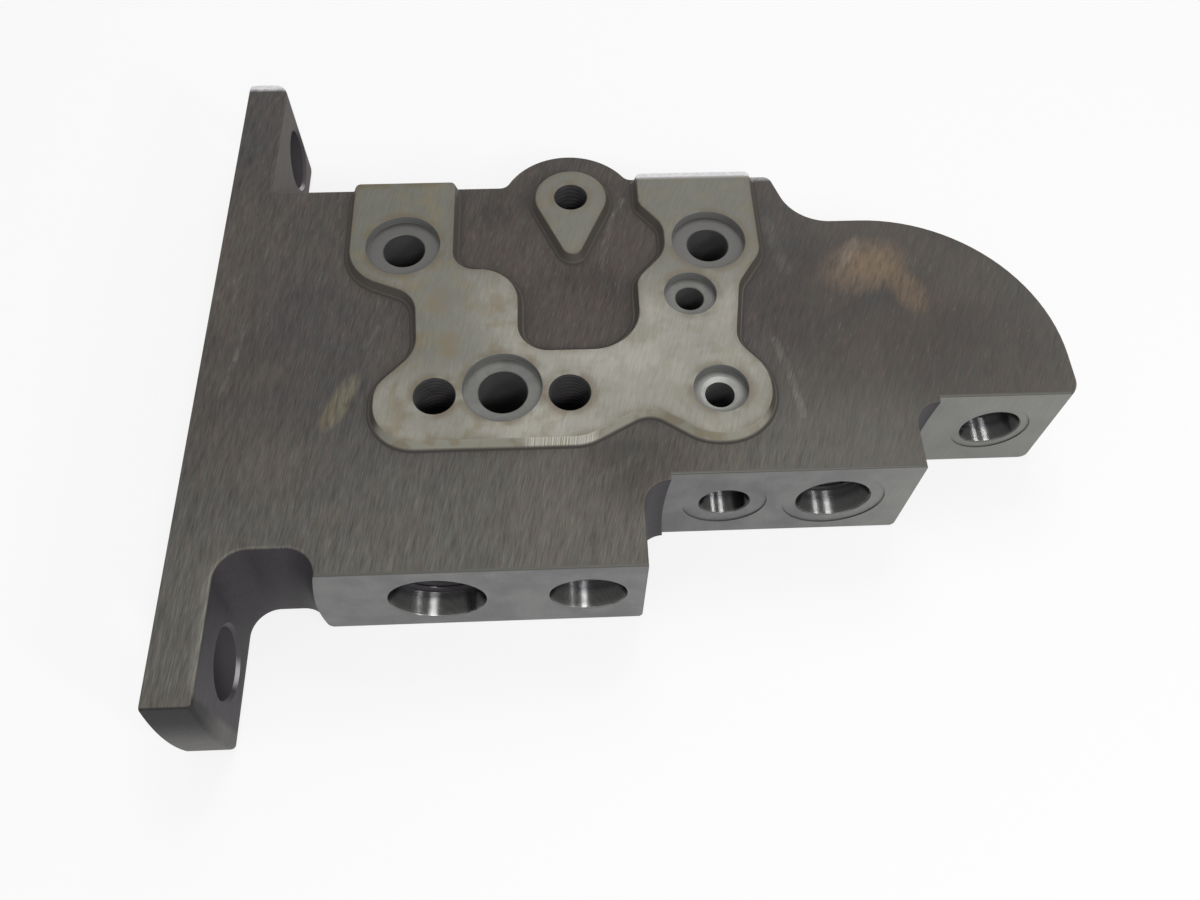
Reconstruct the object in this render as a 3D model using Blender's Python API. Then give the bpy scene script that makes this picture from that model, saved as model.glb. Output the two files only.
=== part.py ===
"""A hydraulic valve manifold, cast in iron as one piece and then milled, drilled and tapped.

Units are metres. Sizes are given as on its drawing: X runs right from the milled face of the
flange, Y runs back from the first port face, and Z runs up from the underside. The finished part
has its origin under the middle of its outline. The casting is a flat block with three stepped
port faces at the front, a bolting flange down its left side and a raised valve pad on its top."""

import math

import bmesh
import bpy
from mathutils import Vector

# The block and its cast edges
THICKNESS = 0.045
TOP_EDGE_RADIUS = 0.0010
BOTTOM_EDGE_RADIUS = 0.0030
EDGE_SEGMENTS = 2
MILLING_STOCK = 0.0020
FACE_1_STOCK = 0.0065
ARC_STEP = math.radians(10)
SIDES = 32

# Pad ports: each is a seal recess with a drilling in its floor
SEAL_RECESS_DEPTH = 0.0030
LARGE_RECESS_RADIUS = 0.0133
SMALL_RECESS_RADIUS = 0.0092
LARGE_DRILLING_RADIUS = 0.0075
CENTRE_DRILLING_RADIUS = 0.0083
SMALL_DRILLING_RADIUS = 0.0050
LEFT_PORT = (0.0662, 0.1258)
CENTRE_PORT = (0.1023, 0.0640)
RIGHT_PORT = (0.1766, 0.1251)
MIDDLE_PORT = (0.1680, 0.1010)
LOWER_PORT = (0.1750, 0.0613)

# Bolt holes: two beside the centre port, with a wall between, and one in the boss
VALVE_BOLT_RADIUS = 0.0068
VALVE_BOLT_WALL = 0.00225
VALVE_BOLT_BEFORE_PORT = 0.0029
THIRD_BOLT_XY = (0.1272, 0.1470)
THIRD_BOLT_RADIUS = 0.0059

# Threaded ports in the front faces: bore at the thread's crests, and the mouth's chamfer.
# Each stands a distance along from the one before it, the first from the notch.
PORT_CHAMFER = 0.0004
SPOTFACE_DEPTH = 0.0005
PORT_1_FROM_NOTCH = 0.0348
PORT_1_RADIUS = 0.0157
PORT_1_DEPTH = 0.0270
PORT_2_ALONG = 0.0487
PORT_2_RADIUS = 0.0125
PORT_2_DEPTH = 0.0240
STEP_1_ALONG = 0.0185
PORT_3_ALONG = 0.0288
PORT_3_RADIUS = 0.0085
PORT_3_DEPTH = 0.0180
PORT_3_SPOTFACE = 0.0143
PORT_4_ALONG = 0.0373
PORT_4_RADIUS = 0.0125
PORT_4_DEPTH = 0.0240
PORT_4_SPOTFACE = 0.0173
STEP_2_ALONG = 0.0264
PORT_5_ALONG = 0.0338
PORT_5_RADIUS = 0.0102
PORT_5_DEPTH = 0.0210
PORT_5_SPOTFACE = 0.0134
RIGHT_END_ALONG = 0.0235

# Oil passages inside, from each threaded port to its pad port
PASSAGE_RADIUS = 0.0060
SMALL_PASSAGE_RADIUS = 0.0045
PASSAGE_FLOOR_WALL = 0.0070
BOLT_FLOOR_WALL = 0.0034
DRILL_POINT = math.radians(59)

# Flange: a bar down the left side that ends in an ear before and behind the block
FLANGE_WIDTH = 0.015
FRONT_EAR_LENGTH = 0.0385
BACK_EAR_LENGTH = 0.0590
EAR_CROWN = 0.0032
EAR_CROWN_HEIGHT = 0.0186
EAR_INNER_RADIUS = 0.0070
EAR_OUTER_RADIUS = 0.0045
EAR_BACK_BEVEL = (0.0032, 0.0011)
EAR_HOLE_RADIUS = 0.0115
EAR_HOLE_BELOW_MIDDLE = 0.0016
EAR_HOLE_FROM_FRONT_END = 0.0204
EAR_HOLE_FROM_BACK_END = 0.0180

# Notch between the flange's front ear and the first port face
NOTCH_WIDTH = 0.0302
NOTCH_DEPTH = 0.0100
NOTCH_SWELL_MIDDLE = 0.0036
NOTCH_SWELL_BOTTOM = 0.0036
NOTCH_RADIUS = 0.0095

# Stepped port faces: how far back each milled face lies, and the corners beside them
FACE_1_Y = 0.0
FACE_2_BACK = 0.0312
FACE_3_BACK = 0.0262
INNER_CORNER_RADIUS = 0.0090
RIGHT_CORNER_RADIUS = 0.0080
MILLED_END_BULGE = 0.0014

# Back outline: two straight stretches, a round boss between them, a shoulder and a large arc
BACK_FROM_LEFT_PORT = 0.0302
BACK_FROM_RIGHT_PORT = 0.0338
BOSS_OFFSET = (-0.0007, -0.0015)
BOSS_RADIUS = 0.0258
BOSS_FILLET = 0.0040
SHOULDER_BESIDE_ARM = 0.0087
SHOULDER_LEAN = 0.0075
SHOULDER_RADIUS = 0.0035
SHELF_DROP = 0.0227
SHELF_RADIUS = 0.0180
END_ARC_RADIUS = 0.0628

# Valve pad and bolt pad: raised, with drafted sides, milled to one height
PAD_HEIGHT = 0.0035
PAD_DRAFT = 0.0020
PAD_ROOT = 0.0040
PAD_BACK_BEVEL = (0.0025, 0.0007)
PAD_BACK_SETBACK = 0.0002
BOLT_PAD_RADIUS = 0.0130
BOLT_PAD_TAIL = 0.0233
BOLT_PAD_TIP_RADIUS = 0.0035

# Land: the flat metal on the valve pad between a recess or bolt hole and the edge beside it
CENTRE_PORT_FRONT_LAND = 0.0062
CENTRE_PORT_BACK_LAND = 0.0010
LEFT_BOLT_LAND = 0.0132
LEFT_PORT_OUTER_LAND = 0.0056
LEFT_PORT_INNER_LAND = 0.0046
RIGHT_PORT_OUTER_LAND = 0.0047
RIGHT_PORT_INNER_LAND = 0.0026
MIDDLE_PORT_INNER_LAND = 0.0090
LOWER_PORT_LAND = 0.0077

# Other corners of the valve pad, as x and y from the port or bolt hole that each lies beside
FRONT_EDGE_END = 0.0048
SADDLE = (-0.0240, -0.0050)
LOBE_START = -0.0064
LOBE_END = 0.0070
WAIST_BELOW = (0.0069, 0.0190)
WAIST_ABOVE = (0.0176, 0.0045)
RIGHT_ARM_START = -0.0058
RIGHT_ARM_INNER = -0.0243
RIGHT_ARM_STEP = 0.0184
INNER_BULGE = (-0.0049, 0.0077)
YOKE_RIGHT_TOP = 0.0070
YOKE_LEFT_FROM_PORT = 0.0050
LEFT_ARM_START = -0.0118
NECK_TOP = (-0.0083, 0.0424)
NECK_BELOW = (-0.0067, 0.0182)
LEFT_EDGE_END = 0.0043

# Roundings of the valve pad's corners, from tight to wide
TIGHT = 0.0060
SMALL = 0.0085
MEDIUM = 0.0110
WIDE = 0.0140
FULL = 0.0168

# How far a cutter runs past the surface it cuts
OVERRUN = 0.002

# Places that follow from the sizes above
PORT_HEIGHT = THICKNESS / 2
NOTCH_RIGHT = FLANGE_WIDTH + NOTCH_WIDTH
PORT_1_X = NOTCH_RIGHT + PORT_1_FROM_NOTCH
PORT_2_X = PORT_1_X + PORT_2_ALONG
STEP_1_RIGHT = PORT_2_X + STEP_1_ALONG
PORT_3_X = STEP_1_RIGHT + PORT_3_ALONG
PORT_4_X = PORT_3_X + PORT_4_ALONG
STEP_2_RIGHT = PORT_4_X + STEP_2_ALONG
PORT_5_X = STEP_2_RIGHT + PORT_5_ALONG
RIGHT_END = PORT_5_X + RIGHT_END_ALONG
FACE_2_Y = FACE_1_Y + FACE_2_BACK
FACE_3_Y = FACE_2_Y + FACE_3_BACK
LEFT_BACK_Y = LEFT_PORT[1] + BACK_FROM_LEFT_PORT
RIGHT_BACK_Y = RIGHT_PORT[1] + BACK_FROM_RIGHT_PORT
LEFT_ARM_BACK_Y = LEFT_BACK_Y - PAD_BACK_SETBACK
RIGHT_ARM_BACK_Y = RIGHT_BACK_Y - PAD_BACK_SETBACK
BOSS_CENTRE = (THIRD_BOLT_XY[0] + BOSS_OFFSET[0], THIRD_BOLT_XY[1] + BOSS_OFFSET[1])
FLANGE_FRONT = FACE_1_Y - FRONT_EAR_LENGTH
FLANGE_BACK = LEFT_BACK_Y + BACK_EAR_LENGTH
RIGHT_ARM_OUTER_X = RIGHT_PORT[0] + LARGE_RECESS_RADIUS + RIGHT_PORT_OUTER_LAND
SHOULDER_X = RIGHT_ARM_OUTER_X + SHOULDER_BESIDE_ARM
SHELF_Y = RIGHT_BACK_Y - SHELF_DROP
VALVE_BOLT_Y = CENTRE_PORT[1] - VALVE_BOLT_BEFORE_PORT
VALVE_BOLT_REACH = LARGE_RECESS_RADIUS + VALVE_BOLT_WALL + VALVE_BOLT_RADIUS
LEFT_BOLT_XY = (CENTRE_PORT[0] - VALVE_BOLT_REACH, VALVE_BOLT_Y)
RIGHT_BOLT_XY = (CENTRE_PORT[0] + VALVE_BOLT_REACH, VALVE_BOLT_Y)
LOW_PASSAGE_HEIGHT = PASSAGE_FLOOR_WALL + PASSAGE_RADIUS
BOLT_TIP_HEIGHT = LOW_PASSAGE_HEIGHT + PASSAGE_RADIUS + BOLT_FLOOR_WALL

IRON_COLOUR = (0.090, 0.084, 0.076, 1.0)
IRON_ROUGHNESS = 0.6
IRON_METALLIC = 0.4
SHARP_ANGLE = math.radians(25)


def clear_scene():
    for obj in list(bpy.data.objects):
        bpy.data.objects.remove(obj, do_unlink=True)


def arc(centre, radius, start, end):
    """Points of an arc from the start angle to the end angle, either way round."""
    steps = max(2, math.ceil(abs(end - start) / ARC_STEP - 0.01))
    angles = [start + (end - start) * i / steps for i in range(steps + 1)]
    return [(centre[0] + radius * math.cos(a), centre[1] + radius * math.sin(a)) for a in angles]


def half_turn_at(before, corner, after):
    """Half the angle by which an outline changes direction at a corner."""
    to_before = Vector(before) - Vector(corner)
    to_after = Vector(after) - Vector(corner)
    return (math.pi - to_before.angle(to_after)) / 2


def rounded_corner(before, corner, after, radius):
    """The corner itself, or the arc of this radius that rounds it."""
    if radius == 0:
        return [corner]
    point = Vector(corner)
    to_before = (Vector(before) - point).normalized()
    to_after = (Vector(after) - point).normalized()
    half_turn = half_turn_at(before, corner, after)
    reach = radius * math.tan(half_turn)
    centre = point + (to_before + to_after).normalized() * radius / math.cos(half_turn)
    first = point + to_before * reach - centre
    start = math.atan2(first.y, first.x)
    turn = 2 * half_turn
    if to_before.cross(to_after) > 0:
        turn = -turn
    return arc(centre, radius, start, start + turn)


def outline(stretches):
    """A closed outline from (x, y, radius) corners and ready lists of points, in order.

    Two roundings that would meet on the side between them share its length."""
    ends = [item if isinstance(item, list) else [item[:2]] for item in stretches]
    count = len(stretches)
    neighbours = [(ends[i - 1][-1], ends[(i + 1) % count][0]) for i in range(count)]
    reaches = [0] * count
    for i, item in enumerate(stretches):
        if not isinstance(item, list) and item[2] > 0:
            before, after = neighbours[i]
            reaches[i] = item[2] * math.tan(half_turn_at(before, item[:2], after))
    points = []
    for i, item in enumerate(stretches):
        if isinstance(item, list):
            points += item
            continue
        before, after = neighbours[i]
        share = 1
        for end, other_reach in ((before, reaches[i - 1]), (after, reaches[(i + 1) % count])):
            side = math.dist(end, item[:2])
            if reaches[i] + other_reach > side:
                share = min(share, side / (reaches[i] + other_reach))
        points += rounded_corner(before, item[:2], after, item[2] * share)
    return points


def offset_corners(corners, distance):
    """The same corners with every side moved out, and each rounding kept parallel to the old one."""
    moved = []
    for index, (x, y, radius) in enumerate(corners):
        point = Vector((x, y))
        arriving = (point - Vector(corners[index - 1][:2])).normalized()
        leaving = (Vector(corners[(index + 1) % len(corners)][:2]) - point).normalized()
        outward = Vector((arriving.y, -arriving.x)) + Vector((leaving.y, -leaving.x))
        place = point + outward * 2 * distance / outward.length_squared
        if radius > 0:
            radius += distance if arriving.cross(leaving) > 0 else -distance
        moved.append((place.x, place.y, radius))
    return moved


def boss_outline():
    """The boss on the back edge: a large arc between two small fillets, from right to left."""
    x, y = BOSS_CENTRE
    reach = BOSS_RADIUS + BOSS_FILLET
    right_rise = RIGHT_BACK_Y + BOSS_FILLET - y
    left_rise = LEFT_BACK_Y + BOSS_FILLET - y
    right_angle = math.asin(right_rise / reach)
    left_angle = math.pi - math.asin(left_rise / reach)
    right_centre = (x + reach * math.cos(right_angle), y + right_rise)
    left_centre = (x + reach * math.cos(left_angle), y + left_rise)
    right_fillet = arc(right_centre, BOSS_FILLET, 1.5 * math.pi, right_angle + math.pi)
    left_fillet = arc(left_centre, BOSS_FILLET, left_angle + math.pi, 1.5 * math.pi)
    crown = arc(BOSS_CENTRE, BOSS_RADIUS, right_angle, left_angle)
    return right_fillet[:-1] + crown + left_fillet[1:]


def casting_outline(notch_swell):
    """The raw casting seen from above, anticlockwise from the flange's front left corner.

    The notch's walls swell into it by the given distance, which changes with the height."""
    notch_right = NOTCH_RIGHT - notch_swell
    notch_back = FACE_1_Y + NOTCH_DEPTH - notch_swell
    end_front = FLANGE_FRONT - EAR_CROWN - MILLING_STOCK
    shelf_start = SHOULDER_X + SHOULDER_LEAN
    return outline([
        (-MILLING_STOCK, end_front, 0),
        (FLANGE_WIDTH, end_front, 0),
        (FLANGE_WIDTH, notch_back, NOTCH_RADIUS),
        (notch_right, notch_back, NOTCH_RADIUS),
        (notch_right, FACE_1_Y - FACE_1_STOCK, 0),
        (STEP_1_RIGHT, FACE_1_Y - FACE_1_STOCK, 0),
        (STEP_1_RIGHT, FACE_2_Y - MILLING_STOCK, INNER_CORNER_RADIUS),
        (STEP_2_RIGHT, FACE_2_Y - MILLING_STOCK, 0),
        (STEP_2_RIGHT, FACE_3_Y - MILLING_STOCK, INNER_CORNER_RADIUS),
        (RIGHT_END, FACE_3_Y - MILLING_STOCK, RIGHT_CORNER_RADIUS),
        (RIGHT_END, SHELF_Y, END_ARC_RADIUS),
        (shelf_start, SHELF_Y, SHELF_RADIUS),
        (SHOULDER_X, RIGHT_BACK_Y, SHOULDER_RADIUS),
        boss_outline(),
        (FLANGE_WIDTH, LEFT_BACK_Y, 0),
        (FLANGE_WIDTH, FLANGE_BACK, EAR_INNER_RADIUS),
        (-MILLING_STOCK, FLANGE_BACK, EAR_OUTER_RADIUS),
    ])


def valve_pad_corners():
    """The valve pad's top, anticlockwise from its front left corner, as (x, y, radius)."""
    left_x, left_y = LEFT_PORT
    right_x, right_y = RIGHT_PORT
    centre_x, centre_y = CENTRE_PORT
    middle_x, middle_y = MIDDLE_PORT
    lower_x, lower_y = LOWER_PORT
    bolt_x, bolt_y = LEFT_BOLT_XY
    front = centre_y - LARGE_RECESS_RADIUS - CENTRE_PORT_FRONT_LAND
    yoke = centre_y + LARGE_RECESS_RADIUS + CENTRE_PORT_BACK_LAND
    yoke_left = centre_x + YOKE_LEFT_FROM_PORT
    yoke_right = middle_x - SMALL_RECESS_RADIUS - MIDDLE_PORT_INNER_LAND
    lobe = SMALL_RECESS_RADIUS + LOWER_PORT_LAND
    inner_right = right_x - LARGE_RECESS_RADIUS - RIGHT_PORT_INNER_LAND
    arm_inner = right_x + RIGHT_ARM_INNER
    arm_left = left_x - LARGE_RECESS_RADIUS - LEFT_PORT_OUTER_LAND
    arm_right = left_x + LARGE_RECESS_RADIUS + LEFT_PORT_INNER_LAND
    edge_left = bolt_x - VALVE_BOLT_RADIUS - LEFT_BOLT_LAND
    return [
        (edge_left, front, WIDE),
        (RIGHT_BOLT_XY[0] + FRONT_EDGE_END, front, WIDE),
        (lower_x + SADDLE[0], lower_y + SADDLE[1], MEDIUM),
        (lower_x + LOBE_START, lower_y - lobe, FULL),
        (lower_x + lobe, lower_y - lobe, FULL),
        (lower_x + lobe, lower_y + LOBE_END, FULL),
        (lower_x + WAIST_BELOW[0], lower_y + WAIST_BELOW[1], MEDIUM),
        (middle_x + WAIST_ABOVE[0], middle_y + WAIST_ABOVE[1], MEDIUM),
        (RIGHT_ARM_OUTER_X, right_y + RIGHT_ARM_START, MEDIUM),
        (RIGHT_ARM_OUTER_X, RIGHT_ARM_BACK_Y, 0),
        (arm_inner, RIGHT_ARM_BACK_Y, 0),
        (arm_inner, right_y + RIGHT_ARM_STEP, TIGHT),
        (inner_right, right_y + INNER_BULGE[1], MEDIUM),
        (inner_right, right_y + INNER_BULGE[0], WIDE),
        (yoke_right, middle_y + YOKE_RIGHT_TOP, SMALL),
        (yoke_right, yoke, FULL),
        (yoke_left, yoke, MEDIUM),
        (yoke_left, left_y + LEFT_ARM_START, WIDE),
        (arm_right, left_y + LEFT_ARM_START, SMALL),
        (arm_right, LEFT_ARM_BACK_Y, 0),
        (arm_left, LEFT_ARM_BACK_Y, 0),
        (arm_left, left_y + LEFT_ARM_START, FULL),
        (bolt_x + NECK_TOP[0], bolt_y + NECK_TOP[1], MEDIUM),
        (bolt_x + NECK_BELOW[0], bolt_y + NECK_BELOW[1], WIDE),
        (edge_left, bolt_y + LEFT_EDGE_END, MEDIUM),
    ]


def held_at_the_back(corners):
    """Corners that an offset moved past the ends of the pad's arms, put back on them."""
    return [
        (x, min(y, LEFT_ARM_BACK_Y if x < BOSS_CENTRE[0] else RIGHT_ARM_BACK_Y), radius)
        for x, y, radius in corners
    ]


def bevelled_at_the_right_back(corners):
    """The right arm's back corners, drawn forward by the width of its bevel."""
    return [
        (x, min(y, RIGHT_ARM_BACK_Y - PAD_BACK_BEVEL[0]) if x > BOSS_CENTRE[0] else y, radius)
        for x, y, radius in corners
    ]


def teardrop(grown_by):
    """Two circles and their outer tangents: the bolt pad round the third bolt hole."""
    x, y = THIRD_BOLT_XY
    large = BOLT_PAD_RADIUS + grown_by
    small = BOLT_PAD_TIP_RADIUS + grown_by
    tilt = math.asin((large - small) / BOLT_PAD_TAIL)
    head = arc((x, y), large, -tilt, math.pi + tilt)
    tip = arc((x, y - BOLT_PAD_TAIL), small, math.pi + tilt, 2 * math.pi - tilt)
    return head + tip


def mesh_object(name, bm):
    bmesh.ops.recalc_face_normals(bm, faces=bm.faces)
    mesh = bpy.data.meshes.new(name)
    bm.to_mesh(mesh)
    bm.free()
    obj = bpy.data.objects.new(name, mesh)
    bpy.context.scene.collection.objects.link(obj)
    return obj


def loft(name, sections):
    """A closed solid through (outline, height) sections of equal point counts, bottom first."""
    bm = bmesh.new()
    rings = [[bm.verts.new((x, y, height)) for x, y in points] for points, height in sections]
    for lower, upper in zip(rings, rings[1:]):
        for i, corner in enumerate(lower):
            bm.faces.new((lower[i - 1], corner, upper[i], upper[i - 1]))
    bm.faces.new(rings[0])
    bm.faces.new(rings[-1])
    return mesh_object(name, bm)


def turned(name, profile):
    """A solid of revolution about Z from (radius, height) points that start and end on Z."""
    bm = bmesh.new()
    rings = []
    for radius, height in profile:
        count = SIDES if radius > 0 else 1
        turns = [2 * math.pi * (i + 0.5) / SIDES for i in range(count)]
        rings.append([
            bm.verts.new((radius * math.cos(a), radius * math.sin(a), height)) for a in turns
        ])
    for lower, upper in zip(rings, rings[1:]):
        for i in range(SIDES):
            corners = [lower[i - 1 if len(lower) > 1 else 0], lower[i if len(lower) > 1 else 0]]
            corners += [upper[i if len(upper) > 1 else 0], upper[i - 1 if len(upper) > 1 else 0]]
            bm.faces.new(list(dict.fromkeys(corners)))
    return mesh_object(name, bm)


def block(name, low, high):
    """A plain box between two corners."""
    bm = bmesh.new()
    bmesh.ops.create_cube(bm, size=1)
    size = Vector(high) - Vector(low)
    middle = (Vector(high) + Vector(low)) / 2
    bmesh.ops.scale(bm, vec=size, verts=bm.verts)
    bmesh.ops.translate(bm, vec=middle, verts=bm.verts)
    return mesh_object(name, bm)


def combine(body, other, operation):
    """Adds a Boolean of the other object to the body and hides the other object."""
    other.hide_render = True
    other.display_type = "WIRE"
    modifier = body.modifiers.new(other.name, "BOOLEAN")
    modifier.operation = operation
    modifier.solver = "MANIFOLD"
    modifier.object = other


def raw_casting():
    """The block as it leaves the sand, with rounded top and bottom edges."""
    body = loft("manifold_body", [
        (casting_outline(NOTCH_SWELL_BOTTOM), 0),
        (casting_outline(NOTCH_SWELL_MIDDLE), THICKNESS / 2),
        (casting_outline(0), THICKNESS),
    ])
    weights = body.data.attributes.new("bevel_weight_edge", "FLOAT", "EDGE")
    share = TOP_EDGE_RADIUS / BOTTOM_EDGE_RADIUS
    for edge in body.data.edges:
        low, high = sorted(body.data.vertices[i].co.z for i in edge.vertices)
        if high == 0:
            weights.data[edge.index].value = 1
        if low > THICKNESS - TOP_EDGE_RADIUS:
            weights.data[edge.index].value = share
    bevel = body.modifiers.new("cast edges", "BEVEL")
    bevel.limit_method = "WEIGHT"
    bevel.width = BOTTOM_EDGE_RADIUS
    bevel.segments = EDGE_SEGMENTS
    return body


def add_pads(body):
    """The valve pad and the bolt pad, joined to the top of the casting."""
    foot = THICKNESS - PAD_ROOT
    top = THICKNESS + PAD_HEIGHT
    bevel_drop = PAD_BACK_BEVEL[1]
    corners = valve_pad_corners()
    below_bevel = PAD_DRAFT * bevel_drop / PAD_HEIGHT
    wide = outline(held_at_the_back(offset_corners(corners, PAD_DRAFT)))
    shoulder = outline(held_at_the_back(offset_corners(corners, below_bevel)))
    narrow = outline(bevelled_at_the_right_back(corners))
    combine(body, loft("valve pad", [
        (wide, foot),
        (wide, THICKNESS),
        (shoulder, top - bevel_drop),
        (narrow, top),
    ]), "UNION")
    combine(body, loft("bolt pad", [
        (teardrop(PAD_DRAFT), foot),
        (teardrop(PAD_DRAFT), THICKNESS),
        (teardrop(0), top),
    ]), "UNION")


def across(name, profile, low, high):
    """A cutter along X from (y, z) points, between two places on X."""
    cutter = loft(name, [(profile, low), (profile, high)])
    for vertex in cutter.data.vertices:
        y, z, x = vertex.co
        vertex.co = (x, y, z)
    return cutter


def face_cut(name, left, right, face_y):
    """What milling takes off a port face: its left end is the shallow arc of the cutter's rim."""
    half = THICKNESS / 2
    radius = (half * half + MILLED_END_BULGE * MILLED_END_BULGE) / (2 * MILLED_END_BULGE)
    spread = math.asin((half + OVERRUN) / radius)
    rim = arc((left - MILLED_END_BULGE + radius, -half), radius, math.pi - spread, math.pi + spread)
    profile = rim + [(right, -THICKNESS - OVERRUN), (right, OVERRUN)]
    front = FACE_1_Y - FACE_1_STOCK - OVERRUN
    cutter = loft(name, [(profile, front), (profile, face_y)])
    for vertex in cutter.data.vertices:
        x, down, y = vertex.co
        vertex.co = (x, y, -down)
    return cutter


def mill_faces(body):
    """Planes milled after casting: the flange's face and the three port faces."""
    front = FLANGE_FRONT - EAR_CROWN - MILLING_STOCK - OVERRUN
    combine(body, block(
        "flange face cut",
        (-MILLING_STOCK - OVERRUN, front, -OVERRUN),
        (0, FLANGE_BACK + OVERRUN, THICKNESS + OVERRUN),
    ), "DIFFERENCE")
    faces = [
        (FLANGE_WIDTH + OVERRUN, STEP_1_RIGHT, FACE_1_Y),
        (STEP_1_RIGHT + INNER_CORNER_RADIUS, STEP_2_RIGHT, FACE_2_Y),
        (STEP_2_RIGHT + INNER_CORNER_RADIUS, RIGHT_END, FACE_3_Y),
    ]
    for number, (left, right, face_y) in enumerate(faces, start=1):
        cut = face_cut(f"port face cut {number}", left, right + OVERRUN, face_y)
        combine(body, cut, "DIFFERENCE")


def shape_ears(body):
    """The front ear's end is crowned, most below the middle, and the back ear's end is bevelled."""
    rise = THICKNESS - EAR_CROWN_HEIGHT
    radius = (rise * rise + EAR_CROWN * EAR_CROWN) / (2 * EAR_CROWN)
    spread = math.asin((rise + OVERRUN) / radius)
    centre = (FLANGE_FRONT - EAR_CROWN + radius, EAR_CROWN_HEIGHT)
    above = arc(centre, radius, math.pi - spread, math.pi)
    below = arc(centre, radius, math.pi, math.pi + spread)
    crown = above + below[1:]
    beyond = FLANGE_FRONT - EAR_CROWN - MILLING_STOCK - OVERRUN
    far_side = [(beyond, -OVERRUN), (beyond, THICKNESS + OVERRUN)]
    low = -MILLING_STOCK - OVERRUN
    high = FLANGE_WIDTH + OVERRUN
    combine(body, across("front end cut", crown + far_side, low, high), "DIFFERENCE")
    width, drop = EAR_BACK_BEVEL
    bevel = [
        (FLANGE_BACK - width, THICKNESS),
        (FLANGE_BACK + OVERRUN, THICKNESS - drop - OVERRUN * drop / width),
        (FLANGE_BACK + OVERRUN, THICKNESS + OVERRUN),
        (FLANGE_BACK - width, THICKNESS + OVERRUN),
    ]
    combine(body, across("back end bevel", bevel, low, high), "DIFFERENCE")


def drill_ears(body):
    """The two bolt holes, right through the flange along X."""
    places = [
        ("front bolt hole", FLANGE_FRONT + EAR_HOLE_FROM_FRONT_END),
        ("back bolt hole", FLANGE_BACK - EAR_HOLE_FROM_BACK_END),
    ]
    for name, y in places:
        hole = turned(name, [
            (0, -OVERRUN),
            (EAR_HOLE_RADIUS, -OVERRUN),
            (EAR_HOLE_RADIUS, FLANGE_WIDTH + OVERRUN),
            (0, FLANGE_WIDTH + OVERRUN),
        ])
        hole.location = (0, y, THICKNESS / 2 - EAR_HOLE_BELOW_MIDDLE)
        hole.rotation_euler = (0, math.pi / 2, 0)
        combine(body, hole, "DIFFERENCE")


def point_length(radius):
    """How far the point of a drill reaches past its full width."""
    return radius / math.tan(DRILL_POINT)


def drill_pads(body):
    """Seal recesses with their drillings, and the blind bolt holes."""
    top = THICKNESS + PAD_HEIGHT
    mouth = top + OVERRUN
    floor = top - SEAL_RECESS_DEPTH
    ports = [
        ("left port", LEFT_PORT, LARGE_RECESS_RADIUS, LARGE_DRILLING_RADIUS, LOW_PASSAGE_HEIGHT),
        ("centre port", CENTRE_PORT, LARGE_RECESS_RADIUS, CENTRE_DRILLING_RADIUS, LOW_PASSAGE_HEIGHT),
        ("right port", RIGHT_PORT, LARGE_RECESS_RADIUS, LARGE_DRILLING_RADIUS, PORT_HEIGHT),
        ("middle port", MIDDLE_PORT, SMALL_RECESS_RADIUS, SMALL_DRILLING_RADIUS, PORT_HEIGHT),
        ("lower port", LOWER_PORT, SMALL_RECESS_RADIUS, SMALL_DRILLING_RADIUS, PORT_HEIGHT),
    ]
    for name, (x, y), recess, drilling, passage_height in ports:
        cutter = turned(name, [
            (0, passage_height - point_length(drilling)),
            (drilling, passage_height),
            (drilling, floor),
            (recess, floor),
            (recess, mouth),
            (0, mouth),
        ])
        cutter.location = (x, y, 0)
        combine(body, cutter, "DIFFERENCE")
    bolts = [
        ("left valve bolt", LEFT_BOLT_XY, VALVE_BOLT_RADIUS),
        ("right valve bolt", RIGHT_BOLT_XY, VALVE_BOLT_RADIUS),
        ("third bolt", THIRD_BOLT_XY, THIRD_BOLT_RADIUS),
    ]
    for name, (x, y), radius in bolts:
        cutter = turned(name, [
            (0, BOLT_TIP_HEIGHT),
            (radius, BOLT_TIP_HEIGHT + point_length(radius)),
            (radius, mouth),
            (0, mouth),
        ])
        cutter.location = (x, y, 0)
        combine(body, cutter, "DIFFERENCE")


def drill_front_ports(body):
    """Threaded ports in the three milled faces, each with a chamfered mouth."""
    ports = [
        (PORT_1_X, FACE_1_Y, PORT_1_RADIUS, PORT_1_DEPTH, None),
        (PORT_2_X, FACE_1_Y, PORT_2_RADIUS, PORT_2_DEPTH, None),
        (PORT_3_X, FACE_2_Y, PORT_3_RADIUS, PORT_3_DEPTH, PORT_3_SPOTFACE),
        (PORT_4_X, FACE_2_Y, PORT_4_RADIUS, PORT_4_DEPTH, PORT_4_SPOTFACE),
        (PORT_5_X, FACE_3_Y, PORT_5_RADIUS, PORT_5_DEPTH, PORT_5_SPOTFACE),
    ]
    for number, (x, face_y, radius, depth, spotface) in enumerate(ports, start=1):
        floor = -SPOTFACE_DEPTH if spotface else 0
        rim = radius + PORT_CHAMFER
        flare = [(spotface, floor), (spotface, OVERRUN)] if spotface else [(rim, OVERRUN)]
        cutter = turned(f"port {number}", [
            (0, -depth - point_length(radius)),
            (radius, -depth),
            (radius, floor - PORT_CHAMFER),
            (rim, floor),
            *flare,
            (0, OVERRUN),
        ])
        cutter.location = (x, face_y, PORT_HEIGHT)
        cutter.rotation_euler = (math.pi / 2, 0, 0)
        combine(body, cutter, "DIFFERENCE")


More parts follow.
